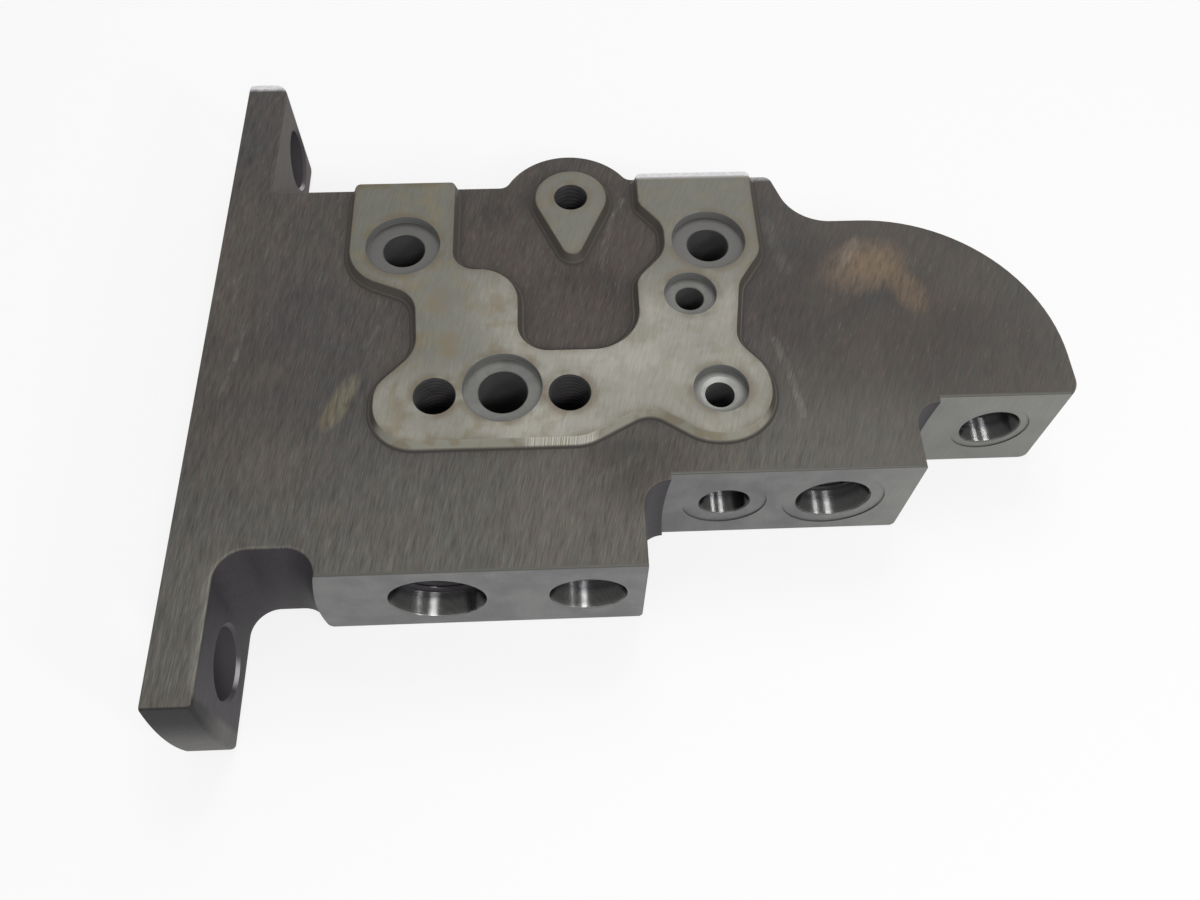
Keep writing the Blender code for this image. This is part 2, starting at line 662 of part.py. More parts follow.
def passage(body, name, start, end, radius):
    """A straight passage between two points inside the block."""
    run = Vector(end) - Vector(start)
    cutter = turned(name, [(0, 0), (radius, 0), (radius, run.length), (0, run.length)])
    cutter.location = start
    cutter.rotation_euler = run.to_track_quat("Z", "Y").to_euler()
    combine(body, cutter, "DIFFERENCE")


def join_ports(body):
    """Passages from inside each threaded port to the axis of its pad drilling."""
    low = LOW_PASSAGE_HEIGHT
    level = PORT_HEIGHT
    end_1 = FACE_1_Y + PORT_1_DEPTH - OVERRUN
    end_2 = FACE_1_Y + PORT_2_DEPTH - OVERRUN
    end_3 = FACE_2_Y + PORT_3_DEPTH - OVERRUN
    end_4 = FACE_2_Y + PORT_4_DEPTH - OVERRUN
    end_5 = FACE_3_Y + PORT_5_DEPTH - OVERRUN
    passage(body, "passage 1", (PORT_1_X, end_1, low), (*LEFT_PORT, low), PASSAGE_RADIUS)
    passage(body, "passage 2", (PORT_2_X, end_2, low), (*CENTRE_PORT, low), PASSAGE_RADIUS)
    small = SMALL_PASSAGE_RADIUS
    passage(body, "passage 3", (PORT_3_X, end_3, level), (*LOWER_PORT, level), small)
    passage(body, "passage 4", (PORT_4_X, end_4, level), (*MIDDLE_PORT, level), small)
    passage(body, "passage 5", (PORT_5_X, end_5, level), (*RIGHT_PORT, level), PASSAGE_RADIUS)


def cast_iron():
    material = bpy.data.materials.new("cast iron")
    material.use_nodes = True
    shader = material.node_tree.nodes["Principled BSDF"]
    shader.inputs["Base Color"].default_value = IRON_COLOUR
    shader.inputs["Roughness"].default_value = IRON_ROUGHNESS
    shader.inputs["Metallic"].default_value = IRON_METALLIC
    return material


def finish_solid(body):
    """Makes one plain mesh of the casting and its cuts, with its origin under its middle."""
    bpy.context.view_layer.update()
    graph = bpy.context.evaluated_depsgraph_get()
    mesh = bpy.data.meshes.new_from_object(body.evaluated_get(graph))
    mesh.name = body.name
    body.modifiers.clear()
    body.data = mesh
    for obj in list(bpy.data.objects):
        if obj != body:
            bpy.data.objects.remove(obj, do_unlink=True)
    middle_y = (FLANGE_BACK + FLANGE_FRONT - EAR_CROWN) / 2
    body.location = (-RIGHT_END / 2, -middle_y, 0)
    mesh.materials.clear()
    mesh.materials.append(cast_iron())
    mesh.shade_smooth()
    mesh.set_sharp_from_angle(angle=SHARP_ANGLE)


def main():
    clear_scene()
    body = raw_casting()
    add_pads(body)
    mill_faces(body)
    shape_ears(body)
    drill_ears(body)
    drill_pads(body)
    drill_front_ports(body)
    join_ports(body)
    finish_solid(body)


main()
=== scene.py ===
"""The looks of a hydraulic valve manifold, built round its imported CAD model.

Units are metres, and places are given as on the part's drawing: X runs right from the milled face
of the flange, Y runs back from the first port face, and Z runs up from the underside. One detailed
piece stands for the casting. It has the CAD model's sizes, with finer roundings and edges, and true
helical threads in the ports and bolt holes."""

import math

import bmesh
import bpy
from mathutils import Matrix, Vector

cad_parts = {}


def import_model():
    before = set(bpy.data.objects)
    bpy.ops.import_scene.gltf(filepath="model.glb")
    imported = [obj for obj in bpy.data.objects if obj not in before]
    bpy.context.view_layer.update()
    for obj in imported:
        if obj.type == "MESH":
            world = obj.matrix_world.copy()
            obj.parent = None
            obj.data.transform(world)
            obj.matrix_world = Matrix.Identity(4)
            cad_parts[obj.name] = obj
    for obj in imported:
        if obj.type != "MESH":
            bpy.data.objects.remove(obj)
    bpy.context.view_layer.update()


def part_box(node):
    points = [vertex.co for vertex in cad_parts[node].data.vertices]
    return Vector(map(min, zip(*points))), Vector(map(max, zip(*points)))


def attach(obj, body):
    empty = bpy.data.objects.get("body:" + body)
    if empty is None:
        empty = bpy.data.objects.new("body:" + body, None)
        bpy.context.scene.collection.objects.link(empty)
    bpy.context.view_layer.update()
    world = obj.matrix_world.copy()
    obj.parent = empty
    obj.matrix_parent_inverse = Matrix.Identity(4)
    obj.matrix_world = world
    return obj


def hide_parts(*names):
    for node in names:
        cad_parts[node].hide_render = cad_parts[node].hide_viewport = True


BODY_NODE = "manifold_body"
MM = 0.001

# The block and its cast edges
THICKNESS = 0.045
TOP_EDGE_RADIUS = 0.0010
BOTTOM_EDGE_RADIUS = 0.0030
MILLING_STOCK = 0.0020
FACE_1_STOCK = 0.0065

# How finely round shapes are divided, and how much of a step an arc may run over
ARC_STEP = math.radians(3.6)
STEP_SLACK = 0.01
ROUND_SIDES = 112
EDGE_STEPS = 5
WALL_STEPS = 14
FILLET_STEPS = 4
PAD_EDGE_STEPS = 3
MILLED_EDGE_STEPS = 6
CUTTER_RIM_STEPS = 24

# Pad ports: each is a seal recess with a drilling in its floor
SEAL_RECESS_DEPTH = 0.0030
LARGE_RECESS_RADIUS = 0.0133
SMALL_RECESS_RADIUS = 0.0092
LARGE_DRILLING_RADIUS = 0.0075
CENTRE_DRILLING_RADIUS = 0.0083
SMALL_DRILLING_RADIUS = 0.0050
LEFT_PORT = (0.0662, 0.1258)
CENTRE_PORT = (0.1023, 0.0640)
RIGHT_PORT = (0.1766, 0.1251)
MIDDLE_PORT = (0.1680, 0.1010)
LOWER_PORT = (0.1750, 0.0613)
RECESS_RIM = 0.00015
RECESS_FLOOR_FILLET = 0.0004
FILLET_MIDDLE_SHARE = 0.3
DRILLING_RIM = 0.0003
LOWER_DRILLING_RIM = 0.0014

# Bolt holes: two beside the centre port, with a wall between, and one in the boss
VALVE_BOLT_RADIUS = 0.0068
VALVE_BOLT_WALL = 0.00225
VALVE_BOLT_BEFORE_PORT = 0.0029
VALVE_BOLT_PITCH = 0.0020
THIRD_BOLT_XY = (0.1272, 0.1470)
THIRD_BOLT_RADIUS = 0.0059
BOLT_MOUTH = 0.0003

# Threaded ports in the front faces: each stands a distance along from the one before it
PORT_1_FROM_NOTCH = 0.0348
PORT_2_ALONG = 0.0487
STEP_1_ALONG = 0.0185
PORT_3_ALONG = 0.0288
PORT_4_ALONG = 0.0373
STEP_2_ALONG = 0.0264
PORT_5_ALONG = 0.0338
RIGHT_END_ALONG = 0.0235

# Their sizes: radius, depth, thread pitch and the radius of the spotface, or 0 where there is none
PORT_1_SIZES = (0.0157, 0.0270, 0.002117, 0)
PORT_2_SIZES = (0.0125, 0.0240, 0.002117, 0)
PORT_3_SIZES = (0.0085, 0.0180, 0.0015875, 0.0143)
PORT_4_SIZES = (0.0125, 0.0240, 0.002117, 0.0173)
PORT_5_SIZES = (0.0102, 0.0210, 0.001814, 0.0134)
SPOTFACE_DEPTH = 0.0005

# A port's mouth: a broken rim, then a plain turned seat down to where the thread starts
PORT_CHAMFER = 0.0004
SEAT_DEPTH = 0.0110

# Thread form: its height and its four edges as shares of the pitch, which of them are the first to
# stand out, and how much of its height it gains in one turn at the ends
THREAD_HEIGHT = 0.45
THREAD_EDGES = (0.0, 0.25, 0.5625, 0.6875)
FIRST_OUTER_EDGE = 2
THREAD_RUNOUT = 0.7
THREAD_SIDES = 80
CREST_HIDDEN = 0.00004

# Oil passages inside, from each threaded port to its pad port
PASSAGE_RADIUS = 0.0060
SMALL_PASSAGE_RADIUS = 0.0045
PASSAGE_FLOOR_WALL = 0.0070
BOLT_FLOOR_WALL = 0.0034
DRILL_POINT = math.radians(59)

# Flange: a bar down the left side that ends in an ear before and behind the block
FLANGE_WIDTH = 0.015
FRONT_EAR_LENGTH = 0.0385
BACK_EAR_LENGTH = 0.0590
EAR_CROWN = 0.0032
EAR_CROWN_HEIGHT = 0.0186
EAR_END_EDGE = 0.0015
EAR_INNER_RADIUS = 0.0070
EAR_OUTER_RADIUS = 0.0045
EAR_BACK_BEVEL = (0.0032, 0.0011)
EAR_HOLE_RADIUS = 0.0115
EAR_HOLE_RIM = 0.0011
EAR_HOLE_BELOW_MIDDLE = 0.0016
EAR_HOLE_FROM_FRONT_END = 0.0204
EAR_HOLE_FROM_BACK_END = 0.0180

# Notch between the flange's front ear and the first port face
NOTCH_WIDTH = 0.0302
NOTCH_DEPTH = 0.0100
NOTCH_SWELL_MIDDLE = 0.0036
NOTCH_SWELL_BOTTOM = 0.0036
NOTCH_RADIUS = 0.0095

# Stepped port faces: how far back each milled face lies, and the corners beside them
FACE_1_Y = 0.0
FACE_2_BACK = 0.0312
FACE_3_BACK = 0.0262
INNER_CORNER_RADIUS = 0.0090
RIGHT_CORNER_RADIUS = 0.0080
MILLED_END_BULGE = 0.0014
MILLED_EDGE_RADIUS = 0.0008

# Back outline: two straight stretches, a round boss between them, a shoulder and a large arc
BACK_FROM_LEFT_PORT = 0.0302
BACK_FROM_RIGHT_PORT = 0.0338
BOSS_OFFSET = (-0.0007, -0.0015)
BOSS_RADIUS = 0.0258
BOSS_FILLET = 0.0040
SHOULDER_BESIDE_ARM = 0.0087
SHOULDER_LEAN = 0.0075
SHOULDER_RADIUS = 0.0035
SHELF_DROP = 0.0227
SHELF_RADIUS = 0.0180
END_ARC_RADIUS = 0.0628

# Valve pad and bolt pad: raised, with drafted sides, milled to one height
PAD_HEIGHT = 0.0035
PAD_DRAFT = 0.0020
PAD_ROOT = 0.0040
PAD_ROOT_FILLET = 0.0009
PAD_ROOT_SUNK = 0.00002
PAD_TOP_EDGE = 0.0003
PAD_BACK_BEVEL = (0.0025, 0.0007)
PAD_BACK_SETBACK = 0.0002
PAD_BACK_CORNER = 0.0018
BOLT_PAD_RADIUS = 0.0130
BOLT_PAD_TAIL = 0.0233
BOLT_PAD_TIP_RADIUS = 0.0035

# Land: the flat metal on the valve pad between a recess or bolt hole and the edge beside it
CENTRE_PORT_FRONT_LAND = 0.0062
CENTRE_PORT_BACK_LAND = 0.0010
LEFT_BOLT_LAND = 0.0132
LEFT_PORT_OUTER_LAND = 0.0056
LEFT_PORT_INNER_LAND = 0.0046
RIGHT_PORT_OUTER_LAND = 0.0047
RIGHT_PORT_INNER_LAND = 0.0026
MIDDLE_PORT_INNER_LAND = 0.0090
LOWER_PORT_LAND = 0.0077

# Other corners of the valve pad, as x and y from the port or bolt hole that each lies beside
FRONT_EDGE_END = 0.0048
SADDLE = (-0.0240, -0.0050)
LOBE_START = -0.0064
LOBE_END = 0.0070
WAIST_BELOW = (0.0069, 0.0190)
WAIST_ABOVE = (0.0176, 0.0045)
RIGHT_ARM_START = -0.0058
RIGHT_ARM_INNER = -0.0243
RIGHT_ARM_STEP = 0.0184
INNER_BULGE = (-0.0049, 0.0077)
YOKE_RIGHT_TOP = 0.0070
YOKE_LEFT_FROM_PORT = 0.0050
LEFT_ARM_START = -0.0118
NECK_TOP = (-0.0083, 0.0424)
NECK_BELOW = (-0.0067, 0.0182)
LEFT_EDGE_END = 0.0043

# Roundings of the valve pad's corners, from tight to wide
TIGHT = 0.0060
SMALL = 0.0085
MEDIUM = 0.0110
WIDE = 0.0140
FULL = 0.0168

# How far a cutter runs past the surface it cuts, the angle from which an edge reads as sharp, how
# strongly large faces hold the shading flat, and how far back and up the bright bevel faces
OVERRUN = 0.002
SHARP_ANGLE = math.radians(32)
FLATNESS = 80
BEVEL_FACES_BACK = 0.15
BEVEL_FACES_UP = 0.8

# Places that follow from the sizes above
PORT_HEIGHT = THICKNESS / 2
NOTCH_RIGHT = FLANGE_WIDTH + NOTCH_WIDTH
PORT_1_X = NOTCH_RIGHT + PORT_1_FROM_NOTCH
PORT_2_X = PORT_1_X + PORT_2_ALONG
STEP_1_RIGHT = PORT_2_X + STEP_1_ALONG
PORT_3_X = STEP_1_RIGHT + PORT_3_ALONG
PORT_4_X = PORT_3_X + PORT_4_ALONG
STEP_2_RIGHT = PORT_4_X + STEP_2_ALONG
PORT_5_X = STEP_2_RIGHT + PORT_5_ALONG
RIGHT_END = PORT_5_X + RIGHT_END_ALONG
FACE_2_Y = FACE_1_Y + FACE_2_BACK
FACE_3_Y = FACE_2_Y + FACE_3_BACK
LEFT_BACK_Y = LEFT_PORT[1] + BACK_FROM_LEFT_PORT
RIGHT_BACK_Y = RIGHT_PORT[1] + BACK_FROM_RIGHT_PORT
LEFT_ARM_BACK_Y = LEFT_BACK_Y - PAD_BACK_SETBACK
RIGHT_ARM_BACK_Y = RIGHT_BACK_Y - PAD_BACK_SETBACK
BOSS_CENTRE = (THIRD_BOLT_XY[0] + BOSS_OFFSET[0], THIRD_BOLT_XY[1] + BOSS_OFFSET[1])
FLANGE_FRONT = FACE_1_Y - FRONT_EAR_LENGTH
FLANGE_BACK = LEFT_BACK_Y + BACK_EAR_LENGTH
RIGHT_ARM_INNER_X = RIGHT_PORT[0] + RIGHT_ARM_INNER
RIGHT_ARM_OUTER_X = RIGHT_PORT[0] + LARGE_RECESS_RADIUS + RIGHT_PORT_OUTER_LAND
SHOULDER_X = RIGHT_ARM_OUTER_X + SHOULDER_BESIDE_ARM
SHELF_Y = RIGHT_BACK_Y - SHELF_DROP
VALVE_BOLT_Y = CENTRE_PORT[1] - VALVE_BOLT_BEFORE_PORT
VALVE_BOLT_REACH = LARGE_RECESS_RADIUS + VALVE_BOLT_WALL + VALVE_BOLT_RADIUS
LEFT_BOLT_XY = (CENTRE_PORT[0] - VALVE_BOLT_REACH, VALVE_BOLT_Y)
RIGHT_BOLT_XY = (CENTRE_PORT[0] + VALVE_BOLT_REACH, VALVE_BOLT_Y)
LOW_PASSAGE_HEIGHT = PASSAGE_FLOOR_WALL + PASSAGE_RADIUS
BOLT_TIP_HEIGHT = LOW_PASSAGE_HEIGHT + PASSAGE_RADIUS + BOLT_FLOOR_WALL
PAD_TOP = THICKNESS + PAD_HEIGHT

# The threaded ports from left to right: place along the front, the face it opens in, and sizes
THREADED_PORTS = [
    (PORT_1_X, FACE_1_Y, *PORT_1_SIZES),
    (PORT_2_X, FACE_1_Y, *PORT_2_SIZES),
    (PORT_3_X, FACE_2_Y, *PORT_3_SIZES),
    (PORT_4_X, FACE_2_Y, *PORT_4_SIZES),
    (PORT_5_X, FACE_3_Y, *PORT_5_SIZES),
]

# The finishes on the casting, in the order of its material slots, and the list that holds them
(CAST, MILLED_PAD, MILLED_FACE, RECESS, PORT_BORE, DRILLING, BOLT_THREAD, RIMS_AND_GLINTS,
 BRIGHT_BEVEL) = range(9)
FINISHES = []


def arc(centre, radius, start, end):
    """Points of an arc from the start angle to the end angle, either way round."""
    steps = max(2, math.ceil(abs(end - start) / ARC_STEP - STEP_SLACK))
    angles = [start + (end - start) * i / steps for i in range(steps + 1)]
    return [(centre[0] + radius * math.cos(a), centre[1] + radius * math.sin(a)) for a in angles]


def quarter(radius, steps):
    """A quarter rounding's points, as how far each lies in from the corner's two sides."""
    angles = [math.pi / 2 * i / steps for i in range(steps + 1)]
    return [(radius * (1 - math.cos(a)), radius * (1 - math.sin(a))) for a in angles]


def half_turn_at(before, corner, after):
    """Half the angle by which an outline changes direction at a corner."""
    to_before = Vector(before) - Vector(corner)
    to_after = Vector(after) - Vector(corner)
    return (math.pi - to_before.angle(to_after)) / 2


def rounded_corner(before, corner, after, radius):
    """The corner itself, or the arc of this radius that rounds it."""
    if radius == 0:
        return [corner]
    point = Vector(corner)
    to_before = (Vector(before) - point).normalized()
    to_after = (Vector(after) - point).normalized()
    half_turn = half_turn_at(before, corner, after)
    reach = radius * math.tan(half_turn)
    centre = point + (to_before + to_after).normalized() * radius / math.cos(half_turn)
    first = point + to_before * reach - centre
    start = math.atan2(first.y, first.x)
    turn = 2 * half_turn
    if to_before.cross(to_after) > 0:
        turn = -turn
    return arc(centre, radius, start, start + turn)


def outline(stretches):
    """A closed outline from (x, y, radius) corners and ready lists of points, in order.

    Two roundings that would meet on the side between them share its length."""
    ends = [item if isinstance(item, list) else [item[:2]] for item in stretches]
    count = len(stretches)
    neighbours = [(ends[i - 1][-1], ends[(i + 1) % count][0]) for i in range(count)]
    reaches = [0] * count
    for i, item in enumerate(stretches):
        if not isinstance(item, list) and item[2] > 0:
            before, after = neighbours[i]
            reaches[i] = item[2] * math.tan(half_turn_at(before, item[:2], after))
    points = []
    for i, item in enumerate(stretches):
        if isinstance(item, list):
            points += item
            continue
        before, after = neighbours[i]
        share = 1
        for end, other_reach in ((before, reaches[i - 1]), (after, reaches[(i + 1) % count])):
            side = math.dist(end, item[:2])
            if reaches[i] + other_reach > side:
                share = min(share, side / (reaches[i] + other_reach))
        points += rounded_corner(before, item[:2], after, item[2] * share)
    return points


def moved_out(outline_points, distance):
    """Each point of an anticlockwise outline with its sides moved out, and whether it juts out."""
    points = [Vector(point) for point in outline_points]
    moved = []
    for i, point in enumerate(points):
        arriving = (point - points[i - 1]).normalized()
        leaving = (points[(i + 1) % len(points)] - point).normalized()
        outward = Vector((arriving.y + leaving.y, -arriving.x - leaving.x))
        place = point + outward * 2 * distance / outward.length_squared
        moved.append((place, arriving.cross(leaving) > 0))
    return moved


def offset_corners(corners, distance):
    """The same corners with every side moved out, and each rounding kept parallel to the old one."""
    moved = []
    for (place, juts_out), corner in zip(moved_out([c[:2] for c in corners], distance), corners):
        radius = corner[2]
        if radius > 0:
            radius += distance if juts_out else -distance
        moved.append((place.x, place.y, radius))
    return moved


def drawn_in(outline_points, distance):
    """A fine outline with every side moved in by a small distance."""
    return [tuple(moved[0]) for moved in moved_out(outline_points, -distance)]


def boss_outline():
    """The boss on the back edge: a large arc between two small fillets, from right to left."""
    x, y = BOSS_CENTRE
    reach = BOSS_RADIUS + BOSS_FILLET
    right_rise = RIGHT_BACK_Y + BOSS_FILLET - y
    left_rise = LEFT_BACK_Y + BOSS_FILLET - y
    right_angle = math.asin(right_rise / reach)
    left_angle = math.pi - math.asin(left_rise / reach)
    right_centre = (x + reach * math.cos(right_angle), y + right_rise)
    left_centre = (x + reach * math.cos(left_angle), y + left_rise)
    right_fillet = arc(right_centre, BOSS_FILLET, 1.5 * math.pi, right_angle + math.pi)
    left_fillet = arc(left_centre, BOSS_FILLET, left_angle + math.pi, 1.5 * math.pi)
    crown = arc(BOSS_CENTRE, BOSS_RADIUS, right_angle, left_angle)
    return right_fillet[:-1] + crown + left_fillet[1:]


def notch_swell_at(height):
    """How far the notch's walls stand in at this height: nothing at the top, most below the middle."""
    share = height / THICKNESS
    bow = 4 * NOTCH_SWELL_MIDDLE - 3 * NOTCH_SWELL_BOTTOM
    return NOTCH_SWELL_BOTTOM + share * bow - share * share * (NOTCH_SWELL_BOTTOM + bow)


def ear_front_at(height):
    """Where the front ear's crowned end lies at this height."""
    rise = THICKNESS - EAR_CROWN_HEIGHT
    radius = (rise * rise + EAR_CROWN * EAR_CROWN) / (2 * EAR_CROWN)
    away = height - EAR_CROWN_HEIGHT
    return FLANGE_FRONT - EAR_CROWN + radius - math.sqrt(radius * radius - away * away)


def casting_outline(height):
    """The casting at one height, anticlockwise from the flange's front left corner."""
    swell = notch_swell_at(height)
    notch_right = NOTCH_RIGHT - swell
    notch_back = FACE_1_Y + NOTCH_DEPTH - swell
    ear_front = ear_front_at(height)
    return outline([
        (-MILLING_STOCK, ear_front, 0),
        (FLANGE_WIDTH, ear_front, EAR_END_EDGE),
        (FLANGE_WIDTH, notch_back, NOTCH_RADIUS),
        (notch_right, notch_back, NOTCH_RADIUS),
        (notch_right, FACE_1_Y - FACE_1_STOCK, 0),
        (STEP_1_RIGHT, FACE_1_Y - FACE_1_STOCK, 0),
        (STEP_1_RIGHT, FACE_2_Y - MILLING_STOCK, INNER_CORNER_RADIUS),
        (STEP_2_RIGHT, FACE_2_Y - MILLING_STOCK, 0),
        (STEP_2_RIGHT, FACE_3_Y - MILLING_STOCK, INNER_CORNER_RADIUS),
        (RIGHT_END, FACE_3_Y - MILLING_STOCK, RIGHT_CORNER_RADIUS),
        (RIGHT_END, SHELF_Y, END_ARC_RADIUS),
        (SHOULDER_X + SHOULDER_LEAN, SHELF_Y, SHELF_RADIUS),
        (SHOULDER_X, RIGHT_BACK_Y, SHOULDER_RADIUS),
        boss_outline(),
        (FLANGE_WIDTH, LEFT_BACK_Y, 0),
        (FLANGE_WIDTH, FLANGE_BACK, EAR_INNER_RADIUS),
        (-MILLING_STOCK, FLANGE_BACK, EAR_OUTER_RADIUS),
    ])


def valve_pad_corners():
    """The valve pad's top, anticlockwise from its front left corner, as (x, y, radius)."""
    left_x, left_y = LEFT_PORT
    right_x, right_y = RIGHT_PORT
    centre_x, centre_y = CENTRE_PORT
    middle_x, middle_y = MIDDLE_PORT
    lower_x, lower_y = LOWER_PORT
    bolt_x, bolt_y = LEFT_BOLT_XY
    front = centre_y - LARGE_RECESS_RADIUS - CENTRE_PORT_FRONT_LAND
    yoke = centre_y + LARGE_RECESS_RADIUS + CENTRE_PORT_BACK_LAND
    yoke_left = centre_x + YOKE_LEFT_FROM_PORT
    yoke_right = middle_x - SMALL_RECESS_RADIUS - MIDDLE_PORT_INNER_LAND
    lobe = SMALL_RECESS_RADIUS + LOWER_PORT_LAND
    inner_right = right_x - LARGE_RECESS_RADIUS - RIGHT_PORT_INNER_LAND
    arm_left = left_x - LARGE_RECESS_RADIUS - LEFT_PORT_OUTER_LAND
    arm_right = left_x + LARGE_RECESS_RADIUS + LEFT_PORT_INNER_LAND
    edge_left = bolt_x - VALVE_BOLT_RADIUS - LEFT_BOLT_LAND
    return [
        (edge_left, front, WIDE),
        (RIGHT_BOLT_XY[0] + FRONT_EDGE_END, front, WIDE),
        (lower_x + SADDLE[0], lower_y + SADDLE[1], MEDIUM),
        (lower_x + LOBE_START, lower_y - lobe, FULL),
        (lower_x + lobe, lower_y - lobe, FULL),
        (lower_x + lobe, lower_y + LOBE_END, FULL),
        (lower_x + WAIST_BELOW[0], lower_y + WAIST_BELOW[1], MEDIUM),
        (middle_x + WAIST_ABOVE[0], middle_y + WAIST_ABOVE[1], MEDIUM),
        (RIGHT_ARM_OUTER_X, right_y + RIGHT_ARM_START, MEDIUM),
        (RIGHT_ARM_OUTER_X, RIGHT_ARM_BACK_Y, PAD_BACK_CORNER),
        (RIGHT_ARM_INNER_X, RIGHT_ARM_BACK_Y, PAD_BACK_CORNER),
        (RIGHT_ARM_INNER_X, right_y + RIGHT_ARM_STEP, TIGHT),
        (inner_right, right_y + INNER_BULGE[1], MEDIUM),
        (inner_right, right_y + INNER_BULGE[0], WIDE),
        (yoke_right, middle_y + YOKE_RIGHT_TOP, SMALL),
        (yoke_right, yoke, FULL),
        (yoke_left, yoke, MEDIUM),
        (yoke_left, left_y + LEFT_ARM_START, WIDE),
        (arm_right, left_y + LEFT_ARM_START, SMALL),
        (arm_right, LEFT_ARM_BACK_Y, PAD_BACK_CORNER),
        (arm_left, LEFT_ARM_BACK_Y, PAD_BACK_CORNER),
        (arm_left, left_y + LEFT_ARM_START, FULL),
        (bolt_x + NECK_TOP[0], bolt_y + NECK_TOP[1], MEDIUM),
        (bolt_x + NECK_BELOW[0], bolt_y + NECK_BELOW[1], WIDE),
        (edge_left, bolt_y + LEFT_EDGE_END, MEDIUM),
    ]


def held_at_the_back(corners, bevel_run):
    """Corners kept from passing the ends of the pad's arms, or the start of the right one's bevel."""
    held = []
    for x, y, radius in corners:
        back = LEFT_ARM_BACK_Y if x < BOSS_CENTRE[0] else RIGHT_ARM_BACK_Y - bevel_run
        held.append((x, min(y, back), radius))
    return held


def teardrop(grown_by):
    """Two circles and their outer tangents: the bolt pad round the third bolt hole."""
    x, y = THIRD_BOLT_XY
    large = BOLT_PAD_RADIUS + grown_by
    small = BOLT_PAD_TIP_RADIUS + grown_by
    tilt = math.asin((large - small) / BOLT_PAD_TAIL)
    head = arc((x, y), large, -tilt, math.pi + tilt)
    tip = arc((x, y - BOLT_PAD_TAIL), small, math.pi + tilt, 2 * math.pi - tilt)
    return head + tip


def in_scene(name, data):
    """A new object in the scene with this mesh, camera or lamp."""
    obj = bpy.data.objects.new(name, data)
    bpy.context.scene.collection.objects.link(obj)
    return obj


def mesh_object(name, bm, materials):
    """An object in the scene with this mesh and these materials."""
    mesh = bpy.data.meshes.new(name)
    bm.to_mesh(mesh)
    bm.free()
    for material in materials:
        mesh.materials.append(material)
    return in_scene(name, mesh)


def solid(name, bm, finish):
    """A closed mesh with one finish on all its faces."""
    bmesh.ops.recalc_face_normals(bm, faces=bm.faces)
    for face in bm.faces:
        face.material_index = finish
    return mesh_object(name, bm, FINISHES)


def loft(name, sections, finish):
    """A closed solid through (outline, height) sections of equal point counts, bottom first."""
    bm = bmesh.new()
    rings = [[bm.verts.new((x, y, height)) for x, y in points] for points, height in sections]
    for lower, upper in zip(rings, rings[1:]):
        for i, corner in enumerate(lower):
            bm.faces.new((lower[i - 1], corner, upper[i], upper[i - 1]))
    bm.faces.new(rings[0])
    bm.faces.new(rings[-1])
    return solid(name, bm, finish)


def turned(name, profile, finish, band_finishes=None):
    """A solid of revolution about Z from (radius, height) points that start and end on Z.

    The band finishes name the finish of single bands, by their number along the profile."""
    bm = bmesh.new()
    rings = []
    for radius, height in profile:
        count = ROUND_SIDES if radius > 0 else 1
        turns = [2 * math.pi * (i + 0.5) / ROUND_SIDES for i in range(count)]
        rings.append([
            bm.verts.new((radius * math.cos(a), radius * math.sin(a), height)) for a in turns
        ])
    bands = []
    for number, (lower, upper) in enumerate(zip(rings, rings[1:])):
        for i in range(ROUND_SIDES):
            corners = [lower[(i - 1) % len(lower)], lower[i % len(lower)]]
            corners += [upper[i % len(upper)], upper[(i - 1) % len(upper)]]
            bm.faces.new(list(dict.fromkeys(corners)))
            bands.append(number)
    obj = solid(name, bm, finish)
    for polygon, band in zip(obj.data.polygons, bands):
        polygon.material_index = (band_finishes or {}).get(band, finish)
    return obj


def threaded_plug(name, radius, pitch, deep, shallow):
    """A right-handed screw about Z that cuts a thread into a bore of the given radius.

    It runs between two heights. Its own crests lie just inside the bore, so that they cut nothing,
    and the thread gets shallower at both ends."""
    edges = len(THREAD_EDGES)
    turns = round((shallow - deep) / pitch)
    rows = edges * turns
    bm = bmesh.new()
    columns = []
    for i in range(THREAD_SIDES):
        angle = 2 * math.pi * i / THREAD_SIDES
        column = []
        for j in range(rows + 1 + (edges if i == 0 else 0)):
            turn = j // edges + i / THREAD_SIDES
            reach = radius - CREST_HIDDEN
            if j % edges >= FIRST_OUTER_EDGE:
                share = min(1.0, turn * THREAD_RUNOUT, (turns - turn) * THREAD_RUNOUT)
                reach = radius + max(THREAD_HEIGHT * pitch * share, -CREST_HIDDEN)
            height = deep + pitch * (turn + THREAD_EDGES[j % edges])
            column.append(bm.verts.new((reach * math.cos(angle), reach * math.sin(angle), height)))
        columns.append(column)
    for i, column in enumerate(columns):
        following = columns[i + 1] if i + 1 < THREAD_SIDES else columns[0][edges:]
        for j in range(rows):
            bm.faces.new((column[j], following[j], following[j + 1], column[j + 1]))
    first = bm.verts.new((0, 0, deep - pitch))
    last = bm.verts.new((0, 0, deep + pitch * (turns + 1)))
    start_loop = [column[0] for column in columns] + columns[0][edges:0:-1]
    end_loop = [column[rows] for column in columns] + columns[0][rows + edges:rows:-1]
    for i, (start, end) in enumerate(zip(start_loop, end_loop)):
        bm.faces.new((first, start, start_loop[i - 1]))
        bm.faces.new((last, end_loop[i - 1], end))
    return solid(name, bm, BOLT_THREAD)


def combine(body, other, operation):
    """A Boolean of the other object, which is only its tool."""
    modifier = body.modifiers.new(other.name, "BOOLEAN")
    modifier.operation = operation
    modifier.solver = "MANIFOLD"
    modifier.material_mode = "INDEX"
    modifier.object = other


def cut(body, tool, place=(0, 0, 0), turn=(0, 0, 0)):
    """Takes a tool's shape off the body, with the tool moved to its place and turned."""
    tool.location = place
    tool.rotation_euler = turn
    combine(body, tool, "DIFFERENCE")


